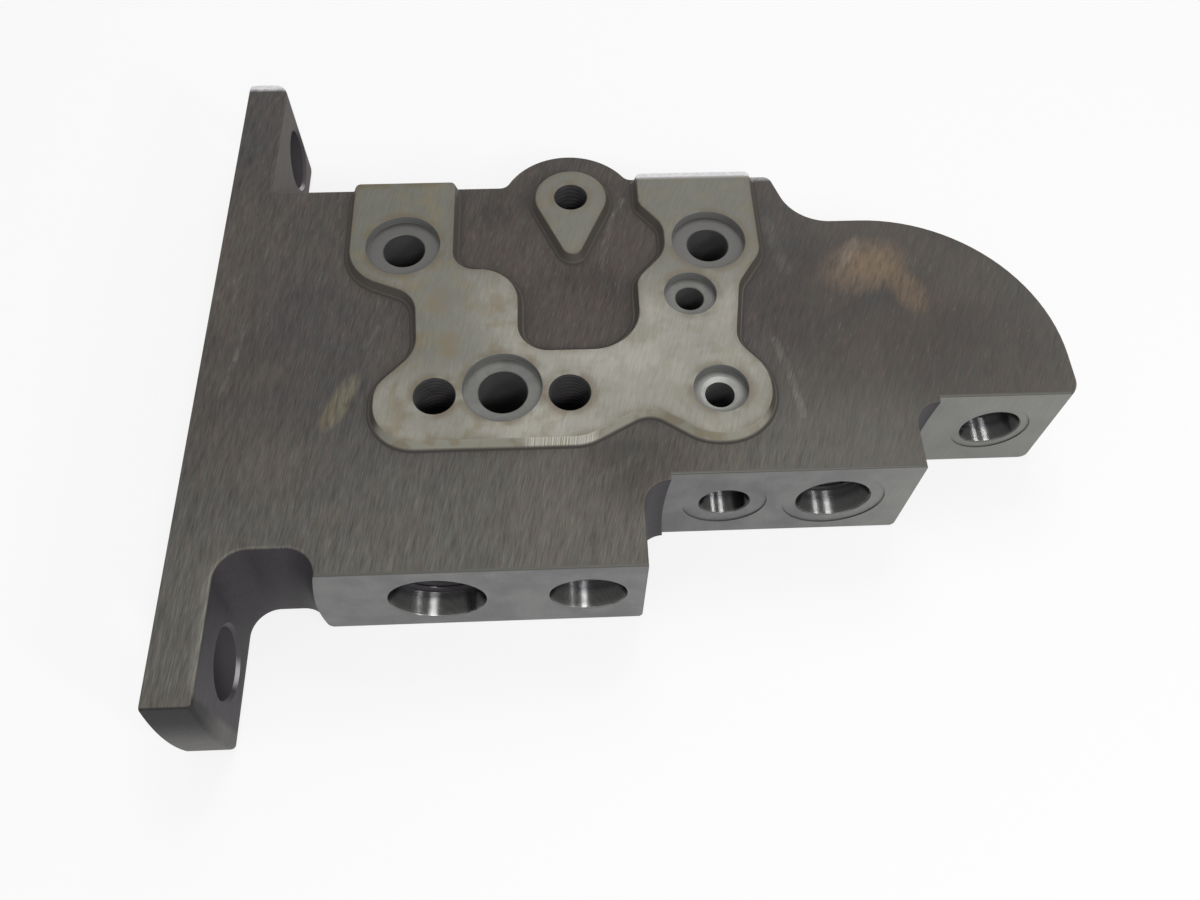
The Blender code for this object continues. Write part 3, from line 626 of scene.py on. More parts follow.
def raw_casting():
    """The block as it leaves the sand, with rounded top and bottom edges."""
    low, high = BOTTOM_EDGE_RADIUS, THICKNESS - TOP_EDGE_RADIUS
    levels = quarter(BOTTOM_EDGE_RADIUS, EDGE_STEPS)
    levels += [(low + (high - low) * i / WALL_STEPS, 0.0) for i in range(1, WALL_STEPS)]
    levels += [(THICKNESS - drop, inset) for inset, drop in quarter(TOP_EDGE_RADIUS, EDGE_STEPS)]
    sections = [(drawn_in(casting_outline(height), inset), height) for height, inset in levels]
    return loft("raw casting", sections, CAST)


def pad_levels():
    """Heights up a pad's side with how far it stands out there: fillet, draft and rounded edge."""
    levels = [(THICKNESS - PAD_ROOT, PAD_DRAFT + PAD_ROOT_FILLET)]
    for rise, out in quarter(PAD_ROOT_FILLET, FILLET_STEPS):
        height = THICKNESS + rise - PAD_ROOT_SUNK
        levels.append((height, PAD_DRAFT * (1 - rise / PAD_HEIGHT) + out))
    drop = PAD_BACK_BEVEL[1]
    levels.append((PAD_TOP - drop, PAD_DRAFT * drop / PAD_HEIGHT))
    for back, drop in quarter(PAD_TOP_EDGE, PAD_EDGE_STEPS):
        levels.append((PAD_TOP - drop, PAD_DRAFT * drop / PAD_HEIGHT - back))
    return levels


def add_pads(body):
    """The valve pad and the bolt pad, joined to the top of the casting."""
    corners = valve_pad_corners()
    run, drop = PAD_BACK_BEVEL
    sections = []
    for height, out in pad_levels():
        bevelled = max(0.0, height - (PAD_TOP - drop)) * run / drop
        sections.append((outline(held_at_the_back(offset_corners(corners, out), bevelled)), height))
    combine(body, loft("valve pad", sections, MILLED_PAD), "UNION")
    sections = [(teardrop(out), height) for height, out in pad_levels()]
    combine(body, loft("bolt pad", sections, MILLED_PAD), "UNION")


def bar(name, profile, low, high, finish, place_of):
    """A cutter with one profile from end to end, and each of its points put where a rule says."""
    cutter = loft(name, [(profile, low), (profile, high)], finish)
    for vertex in cutter.data.vertices:
        vertex.co = place_of(*vertex.co)
    return cutter


def across(name, profile, low, high, finish):
    """A cutter along X from (y, z) points, between two places on X."""
    return bar(name, profile, low, high, finish, lambda y, z, x: (x, y, z))


def face_cut(name, left, right, face_y):
    """What milling takes off a port face: its left end is the shallow arc of the cutter's rim."""
    half = THICKNESS / 2
    radius = (half * half + MILLED_END_BULGE * MILLED_END_BULGE) / (2 * MILLED_END_BULGE)
    spread = math.asin((half + OVERRUN) / radius)
    centre_x = left - MILLED_END_BULGE + radius
    steps = CUTTER_RIM_STEPS
    turns = [math.pi - spread + 2 * spread * i / steps for i in range(steps + 1)]
    rim = [(centre_x + radius * math.cos(a), -half + radius * math.sin(a)) for a in turns]
    profile = rim + [(right, -THICKNESS - OVERRUN), (right, OVERRUN)]
    front = FACE_1_Y - FACE_1_STOCK - OVERRUN
    return bar(name, profile, front, face_y, MILLED_FACE, lambda x, down, y: (x, y, -down))


def edge_rounding(face_y, height, side):
    """The corner taken off along a milled face's edge, as (y, z) points.

    The side is 1 for the top edge and -1 for the bottom one."""
    steps = quarter(MILLED_EDGE_RADIUS, MILLED_EDGE_STEPS)
    rounding = [(face_y + back, height - side * drop) for back, drop in steps]
    beyond = height + side * OVERRUN
    front = face_y - OVERRUN
    return [(front, rounding[0][1])] + rounding + [(rounding[-1][0], beyond), (front, beyond)]


def mill_faces(body):
    """Planes milled after casting: the flange's face and the three port faces."""
    front, back = FLANGE_FRONT - EAR_CROWN - OVERRUN, FLANGE_BACK + OVERRUN
    low, high = -OVERRUN, THICKNESS + OVERRUN
    whole_face = [(front, low), (back, low), (back, high), (front, high)]
    cut(body, across("flange face cut", whole_face, -MILLING_STOCK - OVERRUN, 0, MILLED_FACE))
    faces = [
        (FLANGE_WIDTH + OVERRUN, STEP_1_RIGHT, FACE_1_Y),
        (STEP_1_RIGHT + INNER_CORNER_RADIUS, STEP_2_RIGHT, FACE_2_Y),
        (STEP_2_RIGHT + INNER_CORNER_RADIUS, RIGHT_END, FACE_3_Y),
    ]
    for number, (left, right, face_y) in enumerate(faces, start=1):
        beyond = right + OVERRUN
        cut(body, face_cut(f"port face cut {number}", left, beyond, face_y))
        for place, height, side in (("top", THICKNESS, 1), ("bottom", 0.0, -1)):
            profile = edge_rounding(face_y, height, side)
            name = f"port face {number} {place} edge"
            cut(body, across(name, profile, left, beyond, MILLED_FACE))


def bevel_back_ear(body):
    """The bevel across the top of the back ear's end."""
    width, drop = EAR_BACK_BEVEL
    bevel = [
        (FLANGE_BACK - width, THICKNESS),
        (FLANGE_BACK + OVERRUN, THICKNESS - drop - OVERRUN * drop / width),
        (FLANGE_BACK + OVERRUN, THICKNESS + OVERRUN),
        (FLANGE_BACK - width, THICKNESS + OVERRUN),
    ]
    low = -MILLING_STOCK - OVERRUN
    high = FLANGE_WIDTH + OVERRUN
    cut(body, across("back end bevel", bevel, low, high, BRIGHT_BEVEL))


def drill_ears(body):
    """The two bolt holes, right through the flange along X, with their rims broken."""
    radius = EAR_HOLE_RADIUS
    rim = radius + EAR_HOLE_RIM
    profile = [
        (0, -OVERRUN),
        (rim, -OVERRUN),
        (rim, 0),
        (radius, EAR_HOLE_RIM),
        (radius, FLANGE_WIDTH - EAR_HOLE_RIM),
        (rim, FLANGE_WIDTH),
        (rim, FLANGE_WIDTH + OVERRUN),
        (0, FLANGE_WIDTH + OVERRUN),
    ]
    places = [
        ("front bolt hole", FLANGE_FRONT + EAR_HOLE_FROM_FRONT_END),
        ("back bolt hole", FLANGE_BACK - EAR_HOLE_FROM_BACK_END),
    ]
    for name, y in places:
        hole = turned(name, profile, BOLT_THREAD, {2: RIMS_AND_GLINTS, 4: RIMS_AND_GLINTS})
        cut(body, hole, (0, y, THICKNESS / 2 - EAR_HOLE_BELOW_MIDDLE), (0, math.pi / 2, 0))


def point_length(radius):
    """How far the point of a drill reaches past its full width."""
    return radius / math.tan(DRILL_POINT)


def bore_pad_ports(body):
    """The seal recesses in the valve pad, each with a drilling down to its passage."""
    mouth = PAD_TOP + OVERRUN
    floor = PAD_TOP - SEAL_RECESS_DEPTH
    rim = RECESS_RIM
    fillet = RECESS_FLOOR_FILLET
    middle = fillet * FILLET_MIDDLE_SHARE
    large = LARGE_RECESS_RADIUS
    small = SMALL_RECESS_RADIUS
    ports = [
        ("left port", LEFT_PORT, large, LARGE_DRILLING_RADIUS, LOW_PASSAGE_HEIGHT),
        ("centre port", CENTRE_PORT, large, CENTRE_DRILLING_RADIUS, LOW_PASSAGE_HEIGHT),
        ("right port", RIGHT_PORT, large, LARGE_DRILLING_RADIUS, PORT_HEIGHT),
        ("middle port", MIDDLE_PORT, small, SMALL_DRILLING_RADIUS, PORT_HEIGHT),
        ("lower port", LOWER_PORT, small, SMALL_DRILLING_RADIUS, PORT_HEIGHT),
    ]
    for name, (x, y), recess, drilling, passage_height in ports:
        is_lower = name == "lower port"
        chamfer = LOWER_DRILLING_RIM if is_lower else DRILLING_RIM
        cutter = turned(name, [
            (0, passage_height - point_length(drilling)),
            (drilling, passage_height),
            (drilling, floor - chamfer),
            (drilling + chamfer, floor),
            (recess - fillet, floor),
            (recess - middle, floor + middle),
            (recess, floor + fillet),
            (recess, PAD_TOP - rim),
            (recess + rim, PAD_TOP),
            (recess + rim, mouth),
            (0, mouth),
        ], RECESS, {0: DRILLING, 1: DRILLING, 2: RIMS_AND_GLINTS if is_lower else RECESS})
        cut(body, cutter, (x, y, 0))


def drill_bolt_holes(body):
    """The three blind holes for the valve's bolts, with their threads."""
    bolts = [
        ("left valve bolt", LEFT_BOLT_XY, VALVE_BOLT_RADIUS),
        ("right valve bolt", RIGHT_BOLT_XY, VALVE_BOLT_RADIUS),
        ("third bolt", THIRD_BOLT_XY, THIRD_BOLT_RADIUS),
    ]
    thread_top = PAD_TOP - BOLT_MOUTH
    for name, (x, y), radius in bolts:
        full_width = BOLT_TIP_HEIGHT + point_length(radius)
        thread_low = full_width + VALVE_BOLT_PITCH
        cutter = turned(name, [
            (0, BOLT_TIP_HEIGHT),
            (radius, full_width),
            (radius, thread_top),
            (radius + BOLT_MOUTH, PAD_TOP),
            (radius + BOLT_MOUTH, PAD_TOP + OVERRUN),
            (0, PAD_TOP + OVERRUN),
        ], BOLT_THREAD)
        plug = threaded_plug(f"{name} thread", radius, VALVE_BOLT_PITCH, thread_low, thread_top)
        for tool in (cutter, plug):
            cut(body, tool, (x, y, 0))


def drill_front_ports(body):
    """Threaded ports in the three milled faces: spotface, broken rim, turned seat and thread."""
    for number, port in enumerate(THREADED_PORTS, start=1):
        x, face_y, radius, depth, pitch, spotface = port
        floor = -SPOTFACE_DEPTH if spotface else 0
        rim = radius + PORT_CHAMFER
        flare = [(spotface, floor), (spotface, OVERRUN)] if spotface else [(rim, OVERRUN)]
        thread_end = floor - SEAT_DEPTH
        profile = [
            (0, -depth - point_length(radius)),
            (radius, -depth),
            (radius, thread_end),
            (radius, floor - PORT_CHAMFER),
            (rim, floor),
            *flare,
            (0, OVERRUN),
        ]
        finishes = {0: BOLT_THREAD, 1: BOLT_THREAD, 4: MILLED_FACE, 5: MILLED_FACE}
        cutter = turned(f"port {number}", profile, PORT_BORE, finishes)
        plug = threaded_plug(f"port {number} thread", radius, pitch, pitch - depth, thread_end)
        for tool in (cutter, plug):
            cut(body, tool, (x, face_y, PORT_HEIGHT), (math.pi / 2, 0, 0))


def join_ports(body):
    """Straight passages from inside each threaded port to the axis of its pad port's drilling."""
    ways = [
        (LEFT_PORT, LOW_PASSAGE_HEIGHT, PASSAGE_RADIUS),
        (CENTRE_PORT, LOW_PASSAGE_HEIGHT, PASSAGE_RADIUS),
        (LOWER_PORT, PORT_HEIGHT, SMALL_PASSAGE_RADIUS),
        (MIDDLE_PORT, PORT_HEIGHT, SMALL_PASSAGE_RADIUS),
        (RIGHT_PORT, PORT_HEIGHT, PASSAGE_RADIUS),
    ]
    for number, (port, way) in enumerate(zip(THREADED_PORTS, ways), start=1):
        x, face_y = port[:2]
        depth = port[3]
        pad_port, height, radius = way
        start = Vector((x, face_y + depth - OVERRUN, height))
        run = Vector((*pad_port, height)) - start
        profile = [(0, 0), (radius, 0), (radius, run.length), (0, run.length)]
        cutter = turned(f"passage {number}", profile, DRILLING)
        cut(body, cutter, start, run.to_track_quat("Z", "Y").to_euler())


def brighten_arm_bevel(mesh):
    """Gives the bevel at the back of the valve pad's right arm its bright finish."""
    bevel_start = RIGHT_ARM_BACK_Y - PAD_BACK_BEVEL[0] - PAD_TOP_EDGE
    arm_start = RIGHT_ARM_INNER_X - PAD_DRAFT
    for polygon in mesh.polygons:
        sloping = polygon.normal.y > BEVEL_FACES_BACK and polygon.normal.z > BEVEL_FACES_UP
        on_arm = polygon.center.x > arm_start and polygon.center.y > bevel_start
        if polygon.material_index == MILLED_PAD and sloping and on_arm:
            polygon.material_index = BRIGHT_BEVEL


def finish_solid(body, origin):
    """Makes one plain mesh of the casting and its cuts, moved from the drawing to the frame."""
    bpy.context.view_layer.update()
    graph = bpy.context.evaluated_depsgraph_get()
    mesh = bpy.data.meshes.new_from_object(body.evaluated_get(graph))
    mesh.name = body.name
    tools = [modifier.object for modifier in body.modifiers]
    body.modifiers.clear()
    body.data = mesh
    for tool in tools:
        bpy.data.objects.remove(tool, do_unlink=True)
    brighten_arm_bevel(mesh)
    mesh.transform(Matrix.Translation(origin))
    mesh.shade_smooth()
    mesh.set_sharp_from_angle(angle=SHARP_ANGLE)
    normals = body.modifiers.new("flat faces stay flat", "WEIGHTED_NORMAL")
    normals.keep_sharp = True
    normals.weight = FLATNESS


class Value:
    """A socket's number. Python's own signs on it add Math nodes."""

    def __init__(self, shader, socket):
        self.shader = shader
        self.socket = socket

    def __add__(self, other):
        return self.shader.maths("ADD", self, other)

    def __radd__(self, other):
        return self.shader.maths("ADD", other, self)

    def __sub__(self, other):
        return self.shader.maths("SUBTRACT", self, other)

    def __rsub__(self, other):
        return self.shader.maths("SUBTRACT", other, self)

    def __mul__(self, other):
        return self.shader.maths("MULTIPLY", self, other)

    def __rmul__(self, other):
        return self.shader.maths("MULTIPLY", other, self)

    def above(self, low, high):
        """0 below the low value, 1 above the high one, and smooth between them."""
        settings = {"interpolation_type": "SMOOTHSTEP", "clamp": True}
        sockets = {"Value": self, "From Min": low, "From Max": high}
        return self.shader.node("ShaderNodeMapRange", settings, sockets).value()

    def below(self, low, high):
        """1 below the low value, 0 above the high one, and smooth between them."""
        return 1 - self.above(low, high)

    def between(self, start, full, fading, end):
        """0 before the start and past the end, and 1 between the two middle values."""
        return self.above(start, full) * self.below(fading, end)

    def least(self, other):
        return self.shader.maths("MINIMUM", self, other)

    def most(self, other):
        return self.shader.maths("MAXIMUM", self, other)


class Node:
    """A shader node whose outputs are read as values or colours."""

    def __init__(self, shader, node):
        self.shader = shader
        self.node = node

    def value(self, name=0):
        return Value(self.shader, self.node.outputs[name])


class Shader:
    """A node tree, built from an empty one."""

    def __init__(self, tree):
        self.tree = tree
        tree.nodes.clear()

    def node(self, kind, settings=None, sockets=None):
        """Adds one node: its settings come first, then its sockets' numbers, colours or links."""
        node = self.tree.nodes.new(kind)
        for name, setting in (settings or {}).items():
            setattr(node, name, setting)
        for name, given in (sockets or {}).items():
            if isinstance(given, Value):
                self.tree.links.new(given.socket, node.inputs[name])
            else:
                node.inputs[name].default_value = given
        return Node(self, node)

    def maths(self, operation, *numbers):
        """One Math node on values and plain numbers."""
        settings = {"operation": operation}
        return self.node("ShaderNodeMath", settings, dict(enumerate(numbers))).value()

    def mixed(self, share, colour, other):
        """One colour turned into another by a share."""
        settings = {"data_type": "RGBA"}
        return self.node("ShaderNodeMix", settings, {0: share, 6: colour, 7: other}).value(2)

    def seen_directly(self):
        """1 for what the camera, a reflection or glass shows, and 0 for light that falls on things."""
        path = self.node("ShaderNodeLightPath")
        mirrored = path.value("Is Glossy Ray") + path.value("Is Transmission Ray")
        return (path.value("Is Camera Ray") + mirrored).least(1.0)


def linear(red, green, blue):
    """A screen colour from 0 to 255 as the linear colour that a shader takes."""
    return tuple(
        (part / 255 / 12.92 if part <= 10 else ((part / 255 + 0.055) / 1.055) ** 2.4)
        for part in (red, green, blue)
    ) + (1.0,)


# How the streaks of the cast skin fan out: straight on this line across the drawing, in
# millimetres, they lean on both sides of it, and more towards the right
FAN_LINE = 70
FAN_LEAN = 0.06
FAN_SPREAD = 0.0014


class Finish(Shader):
    """A material of this casting. Its places on the drawing are in millimetres."""

    def __init__(self, name, origin):
        self.material = bpy.data.materials.new(name)
        self.material.use_nodes = True
        super().__init__(self.material.node_tree)
        coordinates = self.node("ShaderNodeTexCoord")
        parts = self.node("ShaderNodeSeparateXYZ", {}, {0: coordinates.value("Object")})
        self.x = (parts.value("X") - origin.x) * (1 / MM)
        self.y = (parts.value("Y") - origin.y) * (1 / MM)
        self.z = (parts.value("Z") - origin.z) * (1 / MM)
        facing = self.node("ShaderNodeSeparateXYZ", {}, {0: coordinates.value("Normal")})
        self.upward = facing.value("Z")
        self.backward = facing.value("Y")
        self.aslant = self.x - (self.y - FAN_LINE) * (FAN_LEAN + self.x * FAN_SPREAD)

    def point(self, x, y, z):
        """Three numbers as one point or colour."""
        return self.node("ShaderNodeCombineXYZ", {}, {0: x, 1: y, 2: z}).value()

    def noise(self, point, detail, rough=0.5):
        """Cloudy noise from 0 to 1, about 0.5."""
        sockets = {"Vector": point, "Scale": 1.0, "Detail": detail, "Roughness": rough}
        return self.node("ShaderNodeTexNoise", {}, sockets).value("Fac")

    def clouds(self, size, detail=3.0, layer=0.0):
        """Soft patches of about this size in millimetres, alike in every direction."""
        step = 1 / size
        return self.noise(self.point(self.x * step + layer, self.y * step, self.z * step), detail)

    def streaks(self, width, length, detail=3.0, layer=0.0):
        """Fine streaks that run from front to back and lean a little, sized in millimetres."""
        across = self.aslant * (1 / width) + layer
        return self.noise(self.point(across, self.y * (1 / length), self.z * (0.5 / width)), detail, 0.6)

    def clouded(self, size, dark, light):
        """Soft patches of this size in two screen colours."""
        return self.mixed(self.clouds(size).above(0.35, 0.65), linear(*dark), linear(*light))

    def covered(self, colour, *layers):
        """A colour with others laid over it in turn, each given as a share and a screen colour."""
        for share, cover in layers:
            colour = self.mixed(share, colour, linear(*cover))
        return colour

    def crowded(self, reach, inside=False):
        """1 in a hollow corner, or beside an outer edge from inside, and 0 on open surface."""
        settings = {"samples": 4, "only_local": True, "inside": inside}
        return 1 - self.node("ShaderNodeAmbientOcclusion", settings, {"Distance": reach}).value("AO")

    def shaded(self, colour, factor):
        """A colour made lighter or darker by a factor."""
        grey = self.point(factor, factor, factor)
        settings = {"operation": "MULTIPLY"}
        return self.node("ShaderNodeVectorMath", settings, {0: colour, 1: grey}).value(0)

    def spot(self, x, y, half_width, half_length, lean=0.0):
        """A soft oval patch on the top face, 1 in the middle; its back end leans to the right."""
        north = self.y - y
        east = (self.x - x - north * lean) * (1 / half_width)
        north = north * (1 / half_length)
        return (east * east + north * north).below(0.0, 1.0)

    def stroke(self, start, end, width):
        """A soft straight stroke on the top face between two points."""
        length = math.dist(start, end)
        ux, uy = (end[0] - start[0]) / length, (end[1] - start[1]) / length
        east = self.x - start[0]
        north = self.y - start[1]
        along = (east * ux + north * uy).most(0.0).least(length)
        off_x = east - along * ux
        off_y = north - along * uy
        return (off_x * off_x + off_y * off_y).below(0.0, width * width)

    def shade(self, colour, rough, metallic=0.0, bump=None, depth=MM, specular=0.5):
        """The surface itself: one Principled shader, with a bump of this depth if one is given."""
        sockets = {
            "Base Color": colour,
            "Roughness": rough,
            "Metallic": metallic,
            "Specular IOR Level": specular,
        }
        if bump is not None:
            raised = {"Height": bump, "Strength": 1.0, "Distance": depth}
            sockets["Normal"] = self.node("ShaderNodeBump", {}, raised).value()
        shader = self.node("ShaderNodeBsdfPrincipled", {}, sockets)
        self.node("ShaderNodeOutputMaterial", {}, {"Surface": shader.value()})
        return self.material


def handling_marks(f, colour, streak):
    """Stains, rubbed patches and scratches on the cast top, where the real one has them."""
    # x, y, half width, half length, lean, screen colour and strength of each stain
    stains = [
        (48.3, 62.0, 5.0, 13.0, 0.35, (122, 118, 98), 0.75),
        (45.0, 57.0, 3.0, 7.0, 0.35, (106, 93, 70), 0.5),
        (233.0, 114.0, 19.0, 15.0, 0.3, (112, 97, 82), 0.8),
        (236.0, 115.0, 13.0, 9.0, 0.2, (124, 106, 84), 0.5),
        (228.0, 121.0, 4.0, 9.0, 0.6, (130, 118, 106), 0.45),
        (246.5, 103.0, 8.0, 13.0, -0.2, (112, 95, 78), 0.65),
        (235.0, 97.0, 8.0, 7.0, 0.2, (68, 68, 66), 0.6),
        (130.6, 69.0, 6.0, 4.0, 0.0, (84, 73, 58), 0.4),
        (141.8, 38.8, 16.0, 7.0, 0.0, (60, 59, 56), 0.55),
        (150.7, 53.4, 6.0, 6.0, 0.0, (64, 61, 57), 0.4),
        (48.0, 19.0, 6.0, 7.0, 0.3, (98, 90, 79), 0.35),
    ]
    torn = f.streaks(2.2, 6.0, 4.0, layer=41.0).above(0.36, 0.62)
    for x, y, half_width, half_length, lean, stain, strength in stains:
        patch = f.spot(x, y, half_width, half_length, lean)
        share = (patch * (0.5 + torn * 0.6 + streak * 0.3)).least(1.0) * strength
        colour = f.covered(colour, (share, stain))
    # start, end, width and strength of each scratch
    scratches = [
        ((196.2, 82.4), (199.4, 67.9), 2.0, 0.18),
        ((199.4, 67.9), (202.0, 51.9), 1.8, 0.24),
        ((199.5, 136.0), (203.5, 113.0), 3.0, 0.10),
        ((146.5, 148.3), (142.4, 141.0), 1.6, 0.14),
        ((142.4, 141.0), (136.9, 115.1), 1.5, 0.10),
        ((133.4, 30.0), (146.7, 38.6), 2.4, 0.08),
        ((13.0, 94.7), (11.5, 80.1), 1.1, 0.14),
        ((11.5, 80.1), (8.8, 68.1), 1.1, 0.10),
        ((54.5, 84.0), (59.0, 92.0), 1.6, 0.12),
    ]
    for start, end, width, strength in scratches:
        share = f.stroke(start, end, width) * (0.15 + torn * 0.6 + streak * 0.5) * strength
        colour = f.covered(colour, (share.least(1.0), (148, 146, 138)))
    return colour


def cast_skin(f):
    """Dark oiled casting skin: fine leaning streaks, brown and grey clouds and marks, painted lighter
    towards the front, with broad painted shadows, painted shade in corners, walls and the front ear's
    end painted in light and shade, and edges painted light as wear and highlight.
    """
    fine = f.streaks(0.48, 6.5, 2.0)
    broad = f.streaks(1.8, 14.0, layer=5.0)
    tint = f.streaks(1.4, 8.0, layer=11.0)
    dashes = f.streaks(0.6, 5.0, 1.0, layer=23.0)
    cloud = f.clouds(34.0)
    # Painted light: the skin is painted lighter towards the front of the top, where more light falls.
    painted_light_to_front = (f.y - f.x * 0.25).below(-25, 75)
    colour = f.mixed(painted_light_to_front, linear(71, 68, 66), linear(96, 94, 89))
    # x, y, half width, half length and strength of each broad shadow
    shadows = [
        (125, 122, 66, 66, 0.9),
        (222, 92, 55, 45, 0.6),
        (150, 34, 30, 20, 0.6),
        (268, 66, 42, 50, 0.5),
    ]
    for x, y, half_width, half_length, strength in shadows:
        colour = f.covered(colour, (f.spot(x, y, half_width, half_length) * strength, (56, 50, 47)))
    colour = f.covered(
        colour,
        (cloud.above(0.4, 0.62) * 0.35, (86, 78, 68)),
        (tint.above(0.54, 0.68) * 0.30, (98, 79, 76)),
        (tint.below(0.34, 0.46) * 0.25, (72, 80, 76)),
        (dashes.above(0.66, 0.78) * 0.22, (128, 126, 118)),
    )
    colour = handling_marks(f, colour, fine.above(0.35, 0.65))
    # Rounded top edges, most of all by the notch and along the flange's inner edge, are painted lighter:
    # partly wear, partly painted highlight where they catch the light.
    wear_and_highlight = f.upward.between(0.35, 0.75, 0.93, 0.995)
    by_notch = f.x.below(44, 48) * f.y.between(-36, -30, 11, 14)
    flange_edge = f.x.between(11.5, 14.0, 16, 20) * f.y.between(-36, -30, 1, 7)
    # Near white at the back edges of the ear and the shoulder: painted highlight on their bevels.
    ear_back_highlight = f.y.above(209.8, 212.0)
    shoulder_back_highlight = f.x.above(193, 197) * f.y.above(155.8, 158.0)
    colour = f.covered(
        colour,
        (wear_and_highlight * (0.10 + by_notch * 0.45), (114, 111, 102)),
        (flange_edge * f.upward.above(0.6, 0.8) * 0.5, (128, 125, 118)),
        (ear_back_highlight.most(shoulder_back_highlight * 0.6), (204, 202, 205)),
    )
    # Painted light and shade on the walls: darker than the top, less dark by the front ear and towards
    # the back.
    sides = f.upward.below(0.4, 0.8)
    painted_wall_shading = f.covered(
        linear(61, 58, 61),
        (f.y.below(-34, -16), (74, 71, 74)),
        (f.y.above(60, 110), (92, 87, 84)),
    )
    colour = f.mixed(sides, colour, painted_wall_shading)
    # Painted light and shade on the front ear's crowned end: light below, dark above.
    ear_end = f.upward.below(0.75, 0.97) * f.y.below(-37, -34)
    painted_end_shading = f.mixed(f.z.above(14, 38), linear(104, 103, 101), linear(44, 42, 43))
    colour = f.mixed(ear_end, colour, painted_end_shading)
    smoother = f.x.above(170, 225) * 0.45
    streak = (fine - 0.5) * 1.5 + (broad - 0.5) * 0.9 + (cloud - 0.5) * 0.5
    colour = f.shaded(colour, 1 + streak * (1 - smoother) * (1 - sides * 0.6))
    # Painted shade in hollow corners, such as round the pads' feet and in the notch.
    colour = f.shaded(colour, 1 - f.crowded(0.005) * 0.8)
    bump = fine + f.clouds(1.1, 4.0)
    return f.shade(colour, rough=0.60, bump=bump, depth=0.00005, specular=0.25)


def milled_pad(f):
    """The pad's milled top with its greenish film of oil and brown edges, painted shade towards the arms
    and the left, and dark drafted sides, of which the front one is painted light.
    """
    brushed = f.streaks(0.9, 7.0)
    film = f.clouds(20.0)
    # Painted shade: the milled top is painted darker towards the arms, the left and on the lobe, where
    # it reflects less light.
    shade_to_arms = f.y.above(88, 122)
    shade_to_left = f.x.below(85, 112) * (0.45 + f.y.above(58, 80) * 0.55)
    shade_on_lobe = f.x.above(155, 172) * f.y.below(60, 80)
    mottle = f.clouds(8.0, 4.0, layer=9.0).above(0.48, 0.64)
    colour = f.mixed(film.above(0.38, 0.62), linear(143, 141, 130), linear(154, 151, 140))
    colour = f.covered(
        colour,
        (shade_to_arms.most(shade_to_left * 0.85), (104, 103, 93)),
        (shade_on_lobe * 0.3, (120, 118, 106)),
        (mottle * (0.3 + f.x.below(100, 130) * 0.25), (116, 107, 80)),
    )
    for x, y, half_width, half_length in ((80.5, 100.7, 6, 9), (98.6, 95.8, 7, 5), (84.5, 81.5, 5, 8)):
        share = f.spot(x, y, half_width, half_length) * brushed.above(0.40, 0.62) * 0.5
        colour = f.covered(colour, (share, (112, 92, 62)))
    colour = f.shaded(colour, 1 + (brushed - 0.5) * 0.6 + (film - 0.5) * 0.3)
    by_edge = f.crowded(0.0035, inside=True).above(0.02, 0.40)
    rust = by_edge * f.clouds(9.0, layer=3.0).above(0.32, 0.55)
    colour = f.covered(colour, (rust * 0.75, (94, 80, 56)))
    # The drafted side that faces the front is painted light, as lit, with bright strokes that are partly
    # wear, partly painted glints.
    along_front = f.backward.below(-0.62, -0.30) * f.y.below(66, 80)
    across = f.point(f.aslant * (1 / 0.55), 31.0, 7.0)
    wear_and_glint_strokes = f.noise(across, 3.0, 0.7).above(0.42, 0.56) * f.x.between(108, 112, 131, 135)
    patches = f.clouds(6.0, 4.0, layer=17.0).above(0.46, 0.60)
    lit_front_side = f.covered(
        linear(150, 148, 135),
        (patches * 0.6, (132, 121, 98)),
        (wear_and_glint_strokes * 0.8, (222, 220, 210)),
    )
    side = f.mixed(along_front, linear(72, 67, 62), lit_front_side)
    colour = f.mixed(f.upward.below(0.55, 0.85), colour, side)
    # Darker along the pad's foot: partly dark oil, partly painted shade in the crease.
    root = f.z.below(45.1, 46.0)
    # Near white at the back of the right arm: painted highlight on its bevel.
    arm_back_highlight = f.x.above(151, 153) * f.y.above(154.6, 157.2) * f.z.above(47, 48)
    colour = f.covered(colour, (root, (60, 56, 53)), (arm_back_highlight, (214, 212, 214)))
    return f.shade(colour, rough=0.42 + root * 0.4, bump=brushed, depth=0.00003, specular=0.35)


def milled_face(f):
    """Plain milled steel-grey iron on the port faces and the flange's face, painted lighter towards the
    right.
    """
    cloud = f.clouds(13.0)
    grain = f.noise(f.point(f.x * 0.9, f.y * 0.9, f.z * 0.12), 3.0)
    colour = f.mixed(cloud.above(0.35, 0.65), linear(108, 108, 110), linear(118, 118, 117))
    # Painted light: the faces are painted lighter towards the right.
    colour = f.covered(colour, (f.x.above(190, 250), (130, 130, 126)))
    colour = f.shaded(colour, 1 + (grain - 0.5) * 0.25 + (cloud - 0.5) * 0.5)
    colour = f.covered(colour, (f.upward.above(0.05, 0.50), (84, 83, 77)))
    return f.shade(colour, rough=0.45, metallic=0.1, bump=grain, depth=0.00002, specular=0.4)


def recess_finish(f):
    """Turned seal recesses: plain grey metal, darker in the arms and bright at the lower port, with
    walls painted lighter and painted shade in the corners.
    """
    by_lower_port = f.spot(LOWER_PORT[0] / MM, LOWER_PORT[1] / MM, 8.5, 8.5)
    colour = f.covered(
        f.clouded(7.0, (95, 95, 92), (110, 110, 106)),
        (f.y.above(106, 114), (85, 84, 81)),
        (by_lower_port, (186, 185, 178)),
        # The recess walls are painted lighter: painted light against the shade on them.
        (f.upward.below(0.3, 0.8), (112, 112, 110)),
    )
    # Painted shade in the recesses' corners.
    colour = f.shaded(colour, 1 - f.crowded(0.002) * 0.5)
    return f.shade(colour, rough=0.5)


